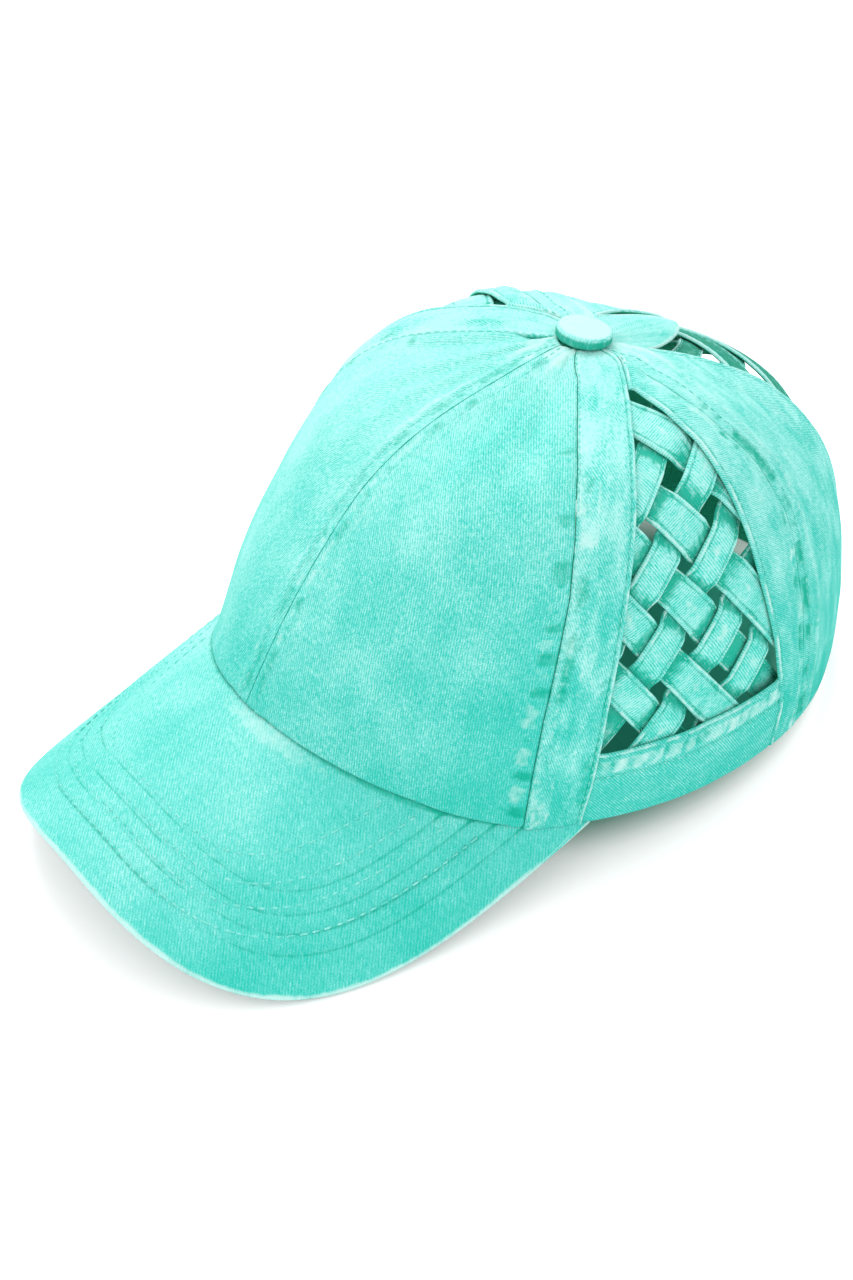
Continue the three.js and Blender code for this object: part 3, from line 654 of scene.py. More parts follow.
def rearSidePanel():
    size = {"step": 1.1, "middle": 16, "stitch": 1.9, "lapRound": 0.9, "seamRound": 0.6,
            "edge": (0, .12, .3, .6, 1, 1.5, 1.9, 2.3, 2.9, 3.6)}
    grid = panelGrid(joined(stripRear, latticeTop, latticeRear), lambda climb: at(rearSeam, climb),
                     sidePanelTop, size)
    base, d, e, up, climb = (grid[key] for key in ("base", "left", "right", "low", "climb"))
    share = d / (d + e)
    pucker = ripple(up, 5.5, 41) + 0.5 * ripple(up, 2.8, 42)
    off = lapLift * smooth(2 - 2 * share) * lapFade(climb)
    off += 0.35 * hump(d, 0.9, 0.7) - 0.32 * hump(d, size["stitch"], 0.4)
    off += 0.5 * hump(e, 1.6, 1.2) + 0.4 * pucker * hump(e, 3.0, 2.2) + 0.2 * cloud(base, 8, 43)
    ridges = ripple(e + 1.6 * ripple(up, 12, 46), 2.6, 47)
    inField = smooth((d - 3) / 2)
    off += 0.3 * ridges * inField * smooth(e / 2)
    off *= 0.3 + 0.7 * smooth(up / 8)
    wear = 0.95 * hump(d, 0.8, 0.6) * smooth(1 + ripple(up, 5, 45)) + 0.35 * smooth(ridges) * inField
    wear += 0.6 * smooth(pucker * 1.5) * hump(e, 3.4, 1.8) + 0.45 * hump(e, 1.3, 0.8)
    wear += 0.3 * smooth((climb - 0.8) / 0.1)
    # painted shade in the stitch groove, and darker between the ridges and the puckers
    stainAndShade = hump(d, size["stitch"] + 0.1, 0.35) + 0.35 * smooth(-ridges) * inField
    stainAndShade += 0.85 * smooth(-pucker * 1.6) * hump(e, 3.4, 2.4)
    stainAndShade *= calmTop(climb)
    # painted shade along both seam edges
    stainAndShade += 0.5 * hump(d, 0, 0.25) + 0.8 * hump(e, 0, 0.35)
    outer, inner = panelWalls(grid, off, size["lapRound"], size["seamRound"])
    marks = marksOf(d, up, 44, wear, stainAndShade)
    shellPair("rearSidePanel", "rear_side_panel", outer, inner, marks, rearCloth)
    sew("crown", outer, column(d, size["stitch"]), pair)


backLift = 0.6


def besideStraps(climb):
    return smooth((climb - 0.3) / 0.13) * (1 - smooth((climb - 0.85) / 0.06))


def backPanel():
    size = {"step": 1.3, "middle": 64, "proudEdge": 13.5, "stitch": 2.0, "seamStitch": 4.2,
            "yokeFrom": 0.85, "yokeRun": 0.02, "seamRound": 0.7, "yokeRound": 0.1,
            "edge": (0, .12, .35, .8, 1.4, 2, 2.6, 3.3, 4.2, 5.4, 7)}
    grid = panelGrid(joined(stripRear, sidePanelTop, rearSeam), lambda climb: at(openingEdge, climb),
                     topClimb, size)
    base, d, e, up, climb = (grid[key] for key in ("base", "left", "right", "low", "climb"))
    free = 1 - smooth((climb - size["yokeFrom"]) / size["yokeRun"])
    off = backLift * besideStraps(climb) * smooth((size["proudEdge"] - e) / lap)
    pucker = ripple(up, 7, 51) + 0.5 * ripple(up, 3.4, 52)
    off += 0.42 * pucker * hump(d, 3.4, 2.4) + 0.3 * hump(d, 4.6, 1.2)
    off += (0.25 * hump(e, 0.9, 0.8) - 0.22 * hump(e, size["stitch"], 0.45)) * free
    off += 0.5 * cloud(base, 30, 53) * smooth(d / 10) + 0.2 * cloud(base, 11, 54)
    off -= 0.3 * smooth((1.2 - up) / 1.2)
    ridges = ripple(d + 1.8 * ripple(up, 13, 57), 3.3, 58) * hump(d, 9, 6)
    off += 0.4 * ridges
    off *= smooth(up / 8)
    wear = 0.5 * hump(d, 5.0, 0.9) * smooth(0.6 + ripple(up, 7, 56)) + 0.5 * smooth(ridges * 1.5)
    wear += 0.55 * smooth(pucker * 1.4) * hump(d, 3, 2.0)
    wear += 0.75 * hump(e, 0.55, 0.6) * free + 0.4 * smooth((climb - 0.75) / 0.15)
    stainAndShade = 0.95 * smooth(-pucker * 1.8) * hump(d, 3.0, 3.2) + 0.65 * smooth(-ridges * 1.5)
    stainAndShade *= calmTop(climb)
    # painted shade along the seam edge and in the stitch groove by the opening
    stainAndShade += 0.8 * hump(d, 0, 0.35) + 0.4 * hump(e, size["stitch"], 0.5) * free
    outer, inner = panelWalls(grid, off, size["seamRound"],
                              size["yokeRound"] + size["seamRound"] * free)
    marks = marksOf(d, up, 55, wear, stainAndShade)
    shellPair("backPanel", "back_panel", outer, inner, marks, rearCloth)
    sew("crown", outer, column(d, size["seamStitch"]), pair)
    below = int(np.sum(free[:, -1] > 0.5))
    sew("back", outer, (slice(0, below), column(e, size["stitch"])[1]), pair)


def shares(size):
    return np.meshgrid(np.linspace(0, 1, size["rows"]), np.linspace(0, 1, size["columns"]),
                       indexing="ij")


def rearYoke():
    size = {"tip": 0.752, "corner": 0.855, "roundness": 1.3, "overlap": 0.15, "sunk": 0.03,
            "rows": 34, "columns": 60, "round": 0.8}
    rowShare, share = shares(size)
    tip = size["tip"] + (size["corner"] - size["tip"]) * np.abs(2 * share - 1) ** size["roundness"]
    climb = tip + (topClimb - tip) * rowShare
    side = at(openingEdge, climb)
    inset = side - size["overlap"] / crownSlope(side, climb)[0]
    azimuth = inset + (360 - 2 * inset) * share
    low = (climb - tip) * crownSlope(azimuth, climb)[1]
    base = crownPoint(azimuth, climb)
    base[..., 0] = np.abs(base[..., 0])
    off = backLift * besideStraps(climb) + 0.5 * cloud(base, 30, 53) + 0.2 * cloud(base, 11, 54)
    off += 0.2 * hump(low, 0.8, 0.8) - 0.2 * hump(low, 2, 0.5)
    outer, inner = walls(azimuth, climb, off - crown["cloth"] / 2 - size["sunk"],
                         crown["cloth"] / 2 * rounded(low, size["round"]))
    wear = 0.7 * hump(low, 0.6, 0.8) + 0.35
    # painted shade in the stitch groove
    stainAndShade = 0.4 * hump(low, 2.1, 0.6)
    marks = marksOf(azimuth * 0.6, low, 62, wear, stainAndShade)
    shell("rearYoke", outer, inner, marks, rearCloth, "rear_yoke")


frontPanel("left", False, 11)
frontPanel("right", True, 411)
sideStrip()
lowerBand()
rearSidePanel()
backPanel()
rearYoke()
print("crown made")

# Lattice straps

lattice = {"width": 11.0, "thickness": 1.2, "gap": 0.4, "rise": 1.02, "fall": -1.33, "step": 1.1,
           "plateau": 0.5, "stitch": 1.35, "halfScan": 70, "scanCount": 1401,
           "lowest": 2, "highest": 0.93,
           "rising": ((0.698, 0), (0.546, 0), (0.401, 0), (0.25, 0), (0.092, 1)),
           "falling": (0.75, 0.564, 0.412, 0.252, 0.089)}
underLevel = -lattice["thickness"] - lattice["gap"]
acrossStrap = np.array([0, .08, .25, .5, .8, 1.1, 1.35, 1.6, 2.1, 3.3, 5.2])
acrossStrap = np.concatenate([acrossStrap, lattice["width"] - acrossStrap[-2::-1]])


def latticeLines():
    rising = [{"meets": meets * sideArc, "slope": lattice["rise"], "phase": i + under}
              for i, (meets, under) in enumerate(lattice["rising"])]
    falling = [{"meets": meets * sideArc, "slope": lattice["fall"], "phase": i}
               for i, meets in enumerate(lattice["falling"])]
    return rising, falling


def insideWindow(along, up):
    azimuth, climb = unrolled(along, up)
    perDegree = crownSlope(azimuth, climb)[0]
    latticeTopUp = float(np.interp(latticeTop, arcClimbs, arcTable))
    room = np.stack([(azimuth - at(stripRear, climb)) * perDegree + lap,
                     (at(latticeRear, climb) - azimuth) * perDegree + lap,
                     up - (bandHeight - lap), latticeTopUp + lap / 2 - up])
    return room.min(0) > 0


strapFace = {"dome": 0.28, "roll": 0.2, "rollAt": 0.65, "rollWidth": 0.45, "dipAt": 1.4,
             "dipWidth": 0.35, "edgeRound": 0.75}


def strapProfile(distance, width):
    # how far the strap's face stands off across its width: a dome with a rolled, sewn edge
    size = strapFace
    edge = np.minimum(distance, width - distance)
    profile = size["dome"] * (1 - (2 * distance / width - 1) ** 2)
    profile += size["roll"] * hump(edge, size["rollAt"], size["rollWidth"])
    profile -= size["roll"] * hump(edge, size["dipAt"], size["dipWidth"])
    return profile, edge, lattice["thickness"] / 2 * rounded(edge, size["edgeRound"])


def latticeStrap(name, node, line, others, over, seed):
    pace = np.hypot(1, line["slope"])
    reach = lattice["plateau"] * lattice["width"] / pace
    stops = sorted(((other["meets"] - line["meets"]) / (line["slope"] - other["slope"]),
                    0.0 if (line["phase"] + other["phase"]) % 2 == over else underLevel)
                   for other in others)
    stations = np.array([stop + side * reach for stop, level in stops for side in (-1, 1)])
    levels = np.repeat([level for stop, level in stops], 2)
    distance = acrossStrap
    across = np.array([-line["slope"] / pace, 1 / pace])
    axis = np.linspace(-lattice["halfScan"], lattice["halfScan"], lattice["scanCount"])
    spans = []
    for offset in distance - lattice["width"] / 2:
        offset = -offset      # columns run down the slope so that the face is outward
        ups = line["meets"] + line["slope"] * axis + offset * across[1]
        good = insideWindow(axis + offset * across[0], ups)
        where = axis[good & (ups > lattice["lowest"]) & (ups < lattice["highest"] * sideArc)]
        spans.append((where.min(), where.max()) if len(where) else (np.nan, np.nan))
    spans = np.array(spans)
    known = ~np.isnan(spans[:, 0])
    for k in (0, 1):
        spans[:, k] = np.interp(distance, distance[known], spans[known, k])
    longest = (spans[:, 1] - spans[:, 0]).max() * pace
    share = np.linspace(0, 1, max(int(longest / lattice["step"]), 12))
    a = spans[None, :, 0] + share[:, None] * (spans[:, 1] - spans[:, 0])[None, :]
    place = np.clip(a, stations[0], stations[-1])
    index = np.clip(np.searchsorted(stations, place) - 1, 0, len(stations) - 2)
    part = (place - stations[index]) / (stations[index + 1] - stations[index])
    level = levels[index] + (levels[index + 1] - levels[index]) * smooth(part)
    offset = -(distance - lattice["width"] / 2)[None, :]
    along = a + offset * across[0]
    up = line["meets"] + line["slope"] * a + offset * across[1]
    azimuth, climb = unrolled(along, up)
    profile, edge, half = strapProfile(distance[None, :], lattice["width"])
    run = a * pace
    base = crownPoint(azimuth, climb)
    level = level + 0.15 * cloud(base, 6, seed) + 0.06 * ripple(run, 4, seed) * (edge < 2.5)
    middle = level + profile - lattice["thickness"] / 2
    outer, inner = walls(azimuth, climb, middle, half)
    shown = smooth((level - underLevel) / (-underLevel))
    fromStop = np.min(np.abs(a[..., None] - np.array([stop for stop, level in stops])), -1) * pace
    patch = hump(fromStop, 0, 4.2) * hump(distance[None, :], lattice["width"] / 2, 3.4) * shown
    wear = 0.85 * hump(edge, 0.5, 0.42) * smooth(0.8 + ripple(run, 4, seed + 3))
    wear += 0.75 * patch * smooth(0.65 + cloud(base, 4, seed + 1)) * shown
    # painted shade: darker in the stitch grooves, where the strap runs under another, and beside each
    # crossing
    stainAndShade = 0.8 * hump(edge, 1.45, 0.4) + 0.7 * (1 - shown) + 0.45 * hump(fromStop, 7.8, 2.2)
    marks = marksOf(run, distance[None, :], seed + 2, wear, stainAndShade)
    shellPair(name, node, outer, inner, marks, strapCloth)
    for millimetres in (lattice["stitch"], lattice["width"] - lattice["stitch"]):
        sew("straps", outer, (slice(None), nearest(distance, millimetres)), pair)


rising, falling = latticeLines()
for way, lines, others, over, seed in (("rising", rising, falling, 1, 100),
                                       ("falling", falling, rising, 0, 200)):
    for i, line in enumerate(lines):
        latticeStrap("%sStrap_%d" % (way, i + 1), "lattice_%s_strap_%d" % (way, i + 1), line, others,
                     over, seed + 7 * i)
print("lattice made")

# Straps over the ponytail opening, and the closure below it

crossing = {"width": 9.6, "tuck": 0.08, "sunk": 1.0, "sag": 2.0, "sagPower": 0.7, "rows": 90,
            "stitch": 1.45,
            "ends": ((0.628, 0.79), (0.492, 0.67))}


def crossingStrap(name, node, lowClimb, highClimb, level, mirror, seed):
    width = crossing["width"]
    distance = acrossStrap * width / lattice["width"]
    share = np.linspace(-crossing["tuck"], 1 + crossing["tuck"], crossing["rows"])[:, None]
    start, end = float(at(openingEdge, lowClimb)), 360 - float(at(openingEdge, highClimb))
    azimuth = start + (end - start) * share
    climb = lowClimb + (highClimb - lowClimb) * share
    perDegree, perClimb = crownSlope(azimuth, climb)[:2]
    along = (end - start) * perDegree
    upward = (highClimb - lowClimb) * perClimb
    length = np.hypot(along, upward)
    offset = (width / 2 - distance)[None, :]
    azimuth = azimuth - offset * upward / length / perDegree
    climb = climb + offset * along / length / perClimb
    profile, edge, half = strapProfile(distance[None, :], width)
    base = crownPoint(azimuth, climb)
    bow = np.sin(np.pi * np.clip(share, 0, 1)) ** crossing["sagPower"]
    sag = crossing["sunk"] + crossing["sag"] * bow
    middle = level + profile - sag + 0.15 * cloud(base, 8, seed) - lattice["thickness"] / 2
    wear = 0.9 * hump(edge, 0.45, 0.55) + 0.25 * smooth(cloud(base, 6, seed + 1))
    # painted shade: all but the strap's edges take the crossing cloth's dark green
    stainAndShade = 0.95 * smooth(edge / 1.2)
    marks = marksOf(share * length.mean(), distance[None, :], seed + 2, wear, stainAndShade)
    outer, inner = walls(azimuth, climb, middle, half)
    shell(name, outer, inner, marks, crossingShadedCloth, node, mirror)
    for millimetres in (crossing["stitch"], width - crossing["stitch"]):
        sew("back", outer, (slice(None), nearest(distance, millimetres)), (-1 if mirror else 1,))


for i, (lowClimb, highClimb) in enumerate(crossing["ends"]):
    for k, (level, mirror) in enumerate(((0.0, False), (underLevel, True))):
        number = 2 * i + k + 1
        crossingStrap("crossingStrap_%d" % number, "crossing_strap_%d" % number, lowClimb, highClimb,
                      level, mirror, 300 + 11 * number)


def closureStrap():
    size = {"height": 22.0, "overlap": 9.0, "rows": 30, "columns": 110, "stitch": 2.2,
            "rimRound": 0.5, "round": 0.9}
    top = size["height"] / float(crownSlope(180.0, 0.08)[1])
    start = float(at(openingEdge, 0)) - size["overlap"]
    rowShare, share = shares(size)
    azimuth = start + (360 - 2 * start) * share
    climb = rowShare * top
    low, high = rowShare * size["height"], (1 - rowShare) * size["height"]
    level = -crown["cloth"] - 2 * crown["layer"]
    base = crownPoint(azimuth, climb)
    perDegree = crownSlope(azimuth, climb)[0]
    d = np.minimum(azimuth - start, 360 - start - azimuth) * perDegree
    off = level + 0.12 * cloud(base, 10, 71) + 0.15 * hump(high, 0.9, 0.8) - 0.15 * hump(high, 2.2, 0.5)
    half = crown["cloth"] / 2 * (rounded(low, size["rimRound"]) * rounded(high, size["round"])
                                 * rounded(d, size["round"]))
    middle = off - crown["cloth"] / 2
    wear = 0.7 * hump(high, 0.5, 0.7) + 0.3 * hump(low, 0.5, 0.7)
    # painted shade in the stitch groove
    stainAndShade = 0.4 * hump(high, 2.3, 0.6)
    marks = marksOf(low, azimuth * 1.9, 72, wear, stainAndShade)
    outer, inner = walls(azimuth, climb, middle, half)
    shell("closureStrap", outer, inner, marks, strapCloth, "closure_strap")
    for toEdge in (high, low):
        sew("back", outer, row(toEdge, size["stitch"]))


closureStrap()
print("back made")

# Peak: a stiff board in cloth, sewn with four rows

peakSizes = {"rows": 74, "columns": 300, "stitchRows": (12.0, 17.8, 23.0, 29.5), "stitchDip": 0.34,
             "edgeRound": 1.25, "paleAt": 10, "paleHalf": 26, "crowding": 1.15, "fadeRun": 8,
             "grooveHalf": 0.6, "quiltAt": 3.5, "quiltHalf": 2.4, "quilt": 0.1, "sunk": 0.12,
             "edge": (0, .08, .25, .5, .85, 1.3, 1.9, 2.7)}


def peakEdge(turn):
    depth = peak["reach"] + crown["frontReach"] + peakEndY
    forward = np.maximum(np.cos(turn), 0) ** (2 / peak["along"])
    outward = np.sign(turn) * np.abs(np.sin(turn)) ** (2 / peak["across"])
    return np.stack([peakEndX * outward, peakEndY - depth * forward], -1)


def frontRim(azimuth):
    # the crown's front edge in plan, for an azimuth in radians
    return np.stack([crown["halfWidth"] * np.sin(azimuth), -crown["frontReach"] * np.cos(azimuth)], -1)


def peakPoint(x, y, drop):
    normal = unit(np.stack([2 * peak["archDrop"] * x / crown["halfWidth"] ** 2,
                            np.full_like(x, -peak["rake"]), np.ones_like(x)], -1))
    return (np.stack([x, y, peakSheet(x, y) - crown["layer"]], -1) - normal * drop[..., None]), normal


def peakPiece():
    size = peakSizes
    turn = np.linspace(-1, 1, size["columns"] + 1)
    turn = np.sign(turn) * (1 - (1 - np.abs(turn)) ** size["crowding"]) * np.pi / 2
    edge = peakEdge(turn)
    base = frontRim(np.radians(peak["span"] * turn / (np.pi / 2)))
    base = base * (1 - peak["seam"] / np.hypot(base[:, 0], base[:, 1]))[:, None]
    run = np.linalg.norm(edge - base, axis=1)
    near = np.array(size["edge"])
    share = np.linspace(0, 1, size["rows"])[:, None]
    squeeze = np.minimum(1, run / size["fadeRun"])[None, :]
    distances = np.concatenate([near[:, None] * squeeze, near[-1] * squeeze
                                + share[1:] * (run[None, :] - near[-1] * squeeze)])
    part = (distances / run[None, :])[..., None]
    plan = edge[None] + (base - edge)[None] * part
    x, y = plan[..., 0], plan[..., 1]
    contour = peakPoint(edge[:, 0], edge[:, 1], np.zeros(len(edge)))[0]
    surface = peakPoint(x, y, np.zeros_like(x))[0]
    fromEdge = np.empty(x.shape)
    for r in range(len(x)):
        fromEdge[r] = np.linalg.norm(surface[r][:, None] - contour[None], axis=-1).min(1)
    fromBase = run[None, :] - distances
    groove = sum(hump(fromEdge, d, size["grooveHalf"]) for d in size["stitchRows"])
    quilt = sum(hump(fromEdge, d + size["quiltAt"], size["quiltHalf"]) for d in size["stitchRows"][:-1])
    off = size["quilt"] * quilt - size["stitchDip"] * groove + 0.22 * cloud(surface, 26, 81)
    off += 0.08 * cloud(surface, 6, 82) - size["sunk"]
    half = peak["thickness"] / 2 * rounded(distances, size["edgeRound"])
    drop = peak["thickness"] / 2
    outer = peakPoint(x, y, drop - half - off * smooth(distances / 3))[0]
    inner = peakPoint(x, y, drop + half)[0]
    wear = 0.85 * hump(fromEdge, 0.5, 1.0)
    wear += 0.3 * smooth((5 - fromEdge) / 5) * smooth(0.5 + cloud(surface, 7, 83))
    middleSeam = hump(x, size["paleAt"], size["paleHalf"])
    wear += (0.42 * hump(fromBase, 5.5, 3.0) + 0.3 * smooth((18 - fromBase) / 16)) * middleSeam
    # painted shade in the stitch grooves and close along the crown's edge; a wider darker strip by the
    # crown away from the middle
    stainAndShade = 0.72 * groove + 0.6 * smooth(3.9 - fromBase)
    stainAndShade += 0.3 * smooth((7 - fromBase) / 4) * (1 - middleSeam)
    marks = {"grain": np.stack([x, y, 0 * x], -1), "wear": wear, "stainAndShade": stainAndShade}
    # the rows run from the edge in to the crown, as a panel's run up, so this face is the upper
    shell("peak", outer, inner, marks, peakCloth, "brim")
    step = np.gradient(edge, axis=0)
    inward = unit(np.stack([-step[:, 1], step[:, 0]], -1))
    for d in size["stitchRows"]:
        path = edge + inward * d
        rim = frontRim(np.arctan2(path[:, 0], -path[:, 1]))
        clear = np.hypot(path[:, 0], path[:, 1]) > np.hypot(rim[:, 0], rim[:, 1]) + 0.6
        path = path[clear & (path[:, 1] < peakEndY)]
        depth = np.full(len(path), size["sunk"] + size["stitchDip"])
        points, normals = peakPoint(path[:, 0], path[:, 1], depth)
        threads["peak"].append((points + normals * 0.3, normals))


peakPiece()
print("peak made")


def topButton():
    size = {"radius": 8.2, "height": 3.8, "seat": 0.55, "around": 72}
    profile = [(0.86, 0.0), (0.94, 0.03), (0.98, 0.1), (0.995, 0.25), (1.0, 0.42), (1.0, 0.58),
               (0.995, 0.7), (0.98, 0.8), (0.95, 0.88), (0.9, 0.935), (0.82, 0.955), (0.68, 0.97),
               (0.5, 0.985), (0.33, 0.995), (0.16, 1.0), (0.05, 1.0)]
    turn = np.linspace(0, 2 * np.pi, size["around"], endpoint=False)
    rings = []
    for out, up in profile:
        gather = 1 + 0.012 * np.sin(11 * turn + 0.7) * smooth((0.75 - up) / 0.5)
        gather += 0.008 * np.sin(23 * turn)
        lump = 1 + 0.02 * np.sin(2 * turn + 1.1) * out
        rings.append(np.stack([size["radius"] * out * gather * np.cos(turn),
                               size["radius"] * out * gather * np.sin(turn),
                               size["height"] * up * lump], -1))
    grid = np.array(rings)
    rows, columns = grid.shape[:2]
    number = np.arange(rows * columns).reshape(rows, columns)
    wrap = np.concatenate([number, number[:, :1]], 1)
    quads = np.stack([wrap[:-1, :-1], wrap[:-1, 1:], wrap[1:, 1:], wrap[1:, :-1]], -1).reshape(-1, 4)
    points = grid.reshape(-1, 3)
    # close the bottom and the top with fans of quads round a middle point
    foot, head = len(points), len(points) + 1
    points = np.concatenate([points, [[0, 0, 0.0], [0, 0, size["height"]]]])
    caps = []
    for k in range(0, columns, 2):
        three = [k, (k + 1) % columns, (k + 2) % columns]
        caps.append([foot, *number[0, three[::-1]]])
        caps.append([head, *number[-1, three]])
    quads = np.concatenate([quads, np.array(caps)])
    radius = np.hypot(points[:, 0], points[:, 1])
    up = points[:, 2] / size["height"]
    wear = 1.0 * smooth((up - 0.86) / 0.1)
    stainAndShade = 0.95 * (1 - smooth((up - 0.62) / 0.2))
    marks = {"grain": points + [91, 17, 0], "wear": wear, "stainAndShade": stainAndShade * (radius > 3),
             "inside": np.zeros(len(points))}
    tilt = -np.radians(crown["topTilt"])
    turned = points.copy()
    turned[:, 1] = points[:, 1] * np.cos(tilt) - points[:, 2] * np.sin(tilt) + crown["topSetback"]
    turned[:, 2] = points[:, 1] * np.sin(tilt) + points[:, 2] * np.cos(tilt)
    turned[:, 2] += crown["height"] + size["seat"]
    addPiece("topButton", turned, quads, marks, buttonCloth, "top_button")


topButton()
print("button made")


# Stitches, laid along the rows gathered above

def stitchTree():
    tree = bpy.data.node_groups.new("stitchRows", "GeometryNodeTree")
    face = tree.interface
    face.new_socket("Geometry", in_out="INPUT", socket_type="NodeSocketGeometry")
    for label, kind in (("Pitch", "NodeSocketFloat"), ("Stitch length", "NodeSocketFloat"),
                        ("Thread radius", "NodeSocketFloat"), ("Seed", "NodeSocketInt"),
                        ("Thread", "NodeSocketMaterial")):
        face.new_socket(label, in_out="INPUT", socket_type=kind)
    face.new_socket("Geometry", in_out="OUTPUT", socket_type="NodeSocketGeometry")
    make = nodeMaker(tree)
    given = make("NodeGroupInput").outputs
    curve = make("GeometryNodeMeshToCurve", {"Mesh": given["Geometry"]})
    paced = make("GeometryNodeResampleCurve", {"Curve": curve.outputs[0], "Length": given["Pitch"]},
                 mode="LENGTH")
    facing = make("GeometryNodeInputNamedAttribute", {"Name": "facing"}, data_type="FLOAT_VECTOR")
    tangent = make("GeometryNodeInputTangent")
    turn = make("FunctionNodeAxesToRotation", {"Primary Axis": tangent.outputs[0],
                                               "Secondary Axis": facing.outputs["Attribute"]},
                primary_axis="X", secondary_axis="Z")
    stray = make("FunctionNodeRandomValue", {2: 0.82, 3: 1.12, "Seed": given["Seed"]}, data_type="FLOAT")
    reach = make("ShaderNodeMath", {0: given["Stitch length"], 1: stray.outputs[1]},
                 operation="MULTIPLY")
    halfReach = make("ShaderNodeMath", {0: reach.outputs[0], 1: 0.5}, operation="MULTIPLY")
    size = make("ShaderNodeCombineXYZ", {"X": halfReach.outputs[0], "Y": given["Thread radius"],
                                         "Z": given["Thread radius"]})
    ball = make("GeometryNodeMeshUVSphere", {"Segments": 6, "Rings": 5, "Radius": 1.0})
    lying = make("GeometryNodeTransform", {"Geometry": ball.outputs["Mesh"],
                                           "Rotation": (0, np.pi / 2, 0)})
    placed = make("GeometryNodeInstanceOnPoints", {"Points": paced.outputs[0],
                                                   "Instance": lying.outputs[0],
                                                   "Rotation": turn.outputs[0], "Scale": size.outputs[0]})
    real = make("GeometryNodeRealizeInstances", {"Geometry": placed.outputs[0]})
    soft = make("GeometryNodeSetShadeSmooth", {0: real.outputs[0]})
    painted = make("GeometryNodeSetMaterial", {"Geometry": soft.outputs[0], "Material": given["Thread"]})
    out = make("NodeGroupOutput")
    tree.links.new(painted.outputs[0], out.inputs[0])
    return tree


stitchSizes = {
    "crown": {"Pitch": 2.6, "Stitch length": 1.9, "Thread radius": 0.2},
    "peak": {"Pitch": 3.4, "Stitch length": 2.5, "Thread radius": 0.36},
    "straps": {"Pitch": 2.2, "Stitch length": 1.6, "Thread radius": 0.16},
    "back": {"Pitch": 2.5, "Stitch length": 1.9, "Thread radius": 0.18},
}


clearOfFloor = 1.3
stitchSeed = 5


def layStitches(group, tree):
    points, edges, facing, count = [], [], [], 0
    for path, normal in threads[group]:
        clear = (path + shift)[:, 2] > clearOfFloor
        path, normal = path[clear], normal[clear]
        points.append((path + shift) / 1000)
        facing.append(normal)
        numbers = np.arange(count, count + len(path))
        edges.append(np.stack([numbers[:-1], numbers[1:]], -1))
        count += len(path)
    mesh = bpy.data.meshes.new("paths")
    mesh.from_pydata(np.concatenate(points).tolist(), np.concatenate(edges).tolist(), [])
    layer = mesh.attributes.new("facing", "FLOAT_VECTOR", "POINT")
    layer.data.foreach_set("vector", np.concatenate(facing).astype(np.float32).ravel())
    carrier = linked("paths", mesh)
    modifier = carrier.modifiers.new("stitches", "NODES")
    modifier.node_group = tree
    sockets = {item.name: item.identifier for item in tree.interface.items_tree
               if item.in_out == "INPUT"}
    for label, value in stitchSizes[group].items():
        modifier[sockets[label]] = value / 1000
    modifier[sockets["Seed"]] = stitchSeed
    modifier[sockets["Thread"]] = threadCloth
    bpy.context.view_layer.update()
    made = carrier.evaluated_get(bpy.context.evaluated_depsgraph_get())
    finished = bpy.data.meshes.new_from_object(made)
    bpy.data.objects.remove(carrier)
    piece = linked(group + "Stitches", finished)
    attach(piece, "root")
    print(group, "stitches:", len(finished.polygons), "faces")


sewing = stitchTree()
for group, slot in (("crown", "twill_cloth"), ("peak", "brim_cloth"), ("straps", "strap_cloth"),
                    ("back", "strap_cloth")):
    layStitches(group, sewing)
print("stitches laid")

# Floor, light and camera

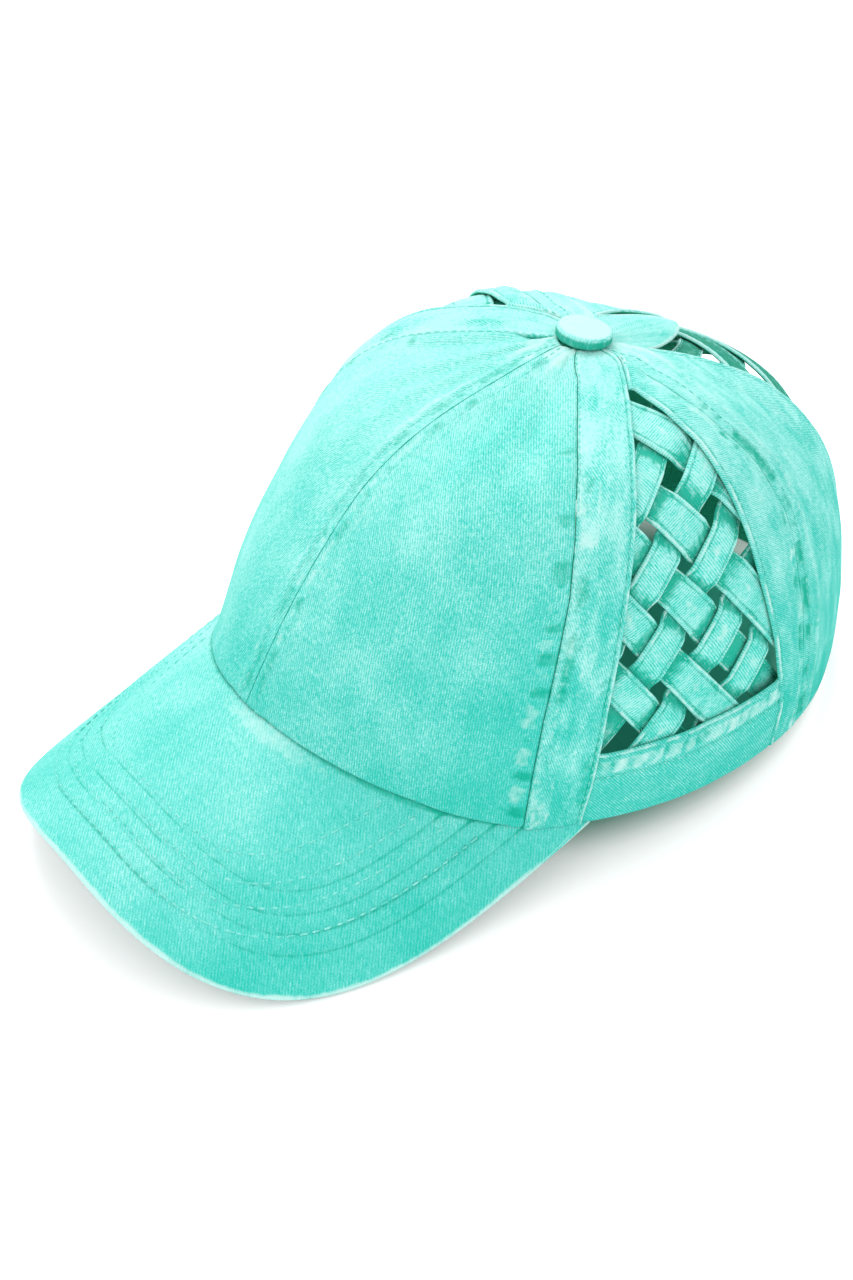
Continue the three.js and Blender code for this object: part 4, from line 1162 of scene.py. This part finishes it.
def makeStage():
    bpy.context.scene.view_settings.view_transform = "Standard"
    half = studio["floor"] / 2
    mesh = bpy.data.meshes.new("floor")
    mesh.from_pydata([(-half, -half, 0), (half, -half, 0), (half, half, 0), (-half, half, 0)], [],
                     [(0, 1, 2, 3)])
    floor = linked("floor", mesh)
    material, tree, make = newMaterial("pale_floor")
    shader = tree.nodes["Principled BSDF"]
    shader.inputs["Roughness"].default_value = 0.9
    # white, with a glow of its own all round that lightens the shadows on it, and painted dark green
    # shade inside the hat's rim
    place = make("ShaderNodeTexCoord").outputs["Object"]
    wide, deep = studio["underHat"]
    squashed = make("ShaderNodeMapping", {"Vector": place, "Scale": (1 / wide, 1 / deep, 1),
                                          "Location": (0, -studio["underHatY"] / deep, 0)})
    away = make("ShaderNodeVectorMath", {0: squashed.outputs[0]}, operation="LENGTH")
    ramp = make("ShaderNodeValToRGB", {0: away.outputs["Value"]})
    ramp.color_ramp.interpolation = "EASE"
    steps = ramp.color_ramp.elements
    steps[0].position, steps[0].color = studio["paintedShadeTo"], studio["paintedShade"]
    steps[1].position, steps[1].color = 1.0, studio["pale"]
    tree.links.new(ramp.outputs["Color"], shader.inputs["Base Color"])
    tree.links.new(ramp.outputs["Color"], shader.inputs["Emission Color"])
    shader.inputs["Emission Strength"].default_value = studio["glow"]
    mesh.materials.append(material)
    world = bpy.data.worlds.new("studio")
    world.use_nodes = True
    sky = world.node_tree.nodes["Background"]
    sky.inputs["Color"].default_value = (1, 1, 1, 1)
    sky.inputs["Strength"].default_value = studio["sky"]
    bpy.context.scene.world = world
    for name, place, power, width in (("key", (-0.75, 0.35, 1.35), studio["key"], 0.9),
                                      ("fill", (0.4, -1.2, 1.3), studio["fill"], 1.2)):
        light = bpy.data.lights.new(name, "AREA")
        light.energy = power
        light.shape = "DISK"
        light.size = width
        lamp = linked(name, light)
        lamp.location = place
        beam = Vector(studio["aim"]) - Vector(place)
        lamp.rotation_euler = beam.to_track_quat("-Z", "Y").to_euler()


view = {"lens": 60.845, "azimuth": 52.534, "elevation": 40.824, "distance": 647.8,
        "target": (-1.898, -34.164, 36.392)}


def makeCamera():
    camera = bpy.data.cameras.new("camera")
    camera.lens = view["lens"]
    camera.sensor_width = 36
    camera.clip_start = 0.01
    holder = linked("camera", camera)
    target = (np.array(view["target"]) + shift) / 1000
    az, el = np.radians(view["azimuth"]), np.radians(view["elevation"])
    reach = view["distance"] / 1000
    away = np.array([np.sin(az) * np.cos(el), -np.cos(az) * np.cos(el), np.sin(el)]) * reach
    holder.location = Vector(target + away)
    holder.rotation_euler = Vector(-away).to_track_quat("-Z", "Y").to_euler()
    bpy.context.scene.camera = holder


makeStage()
makeCamera()
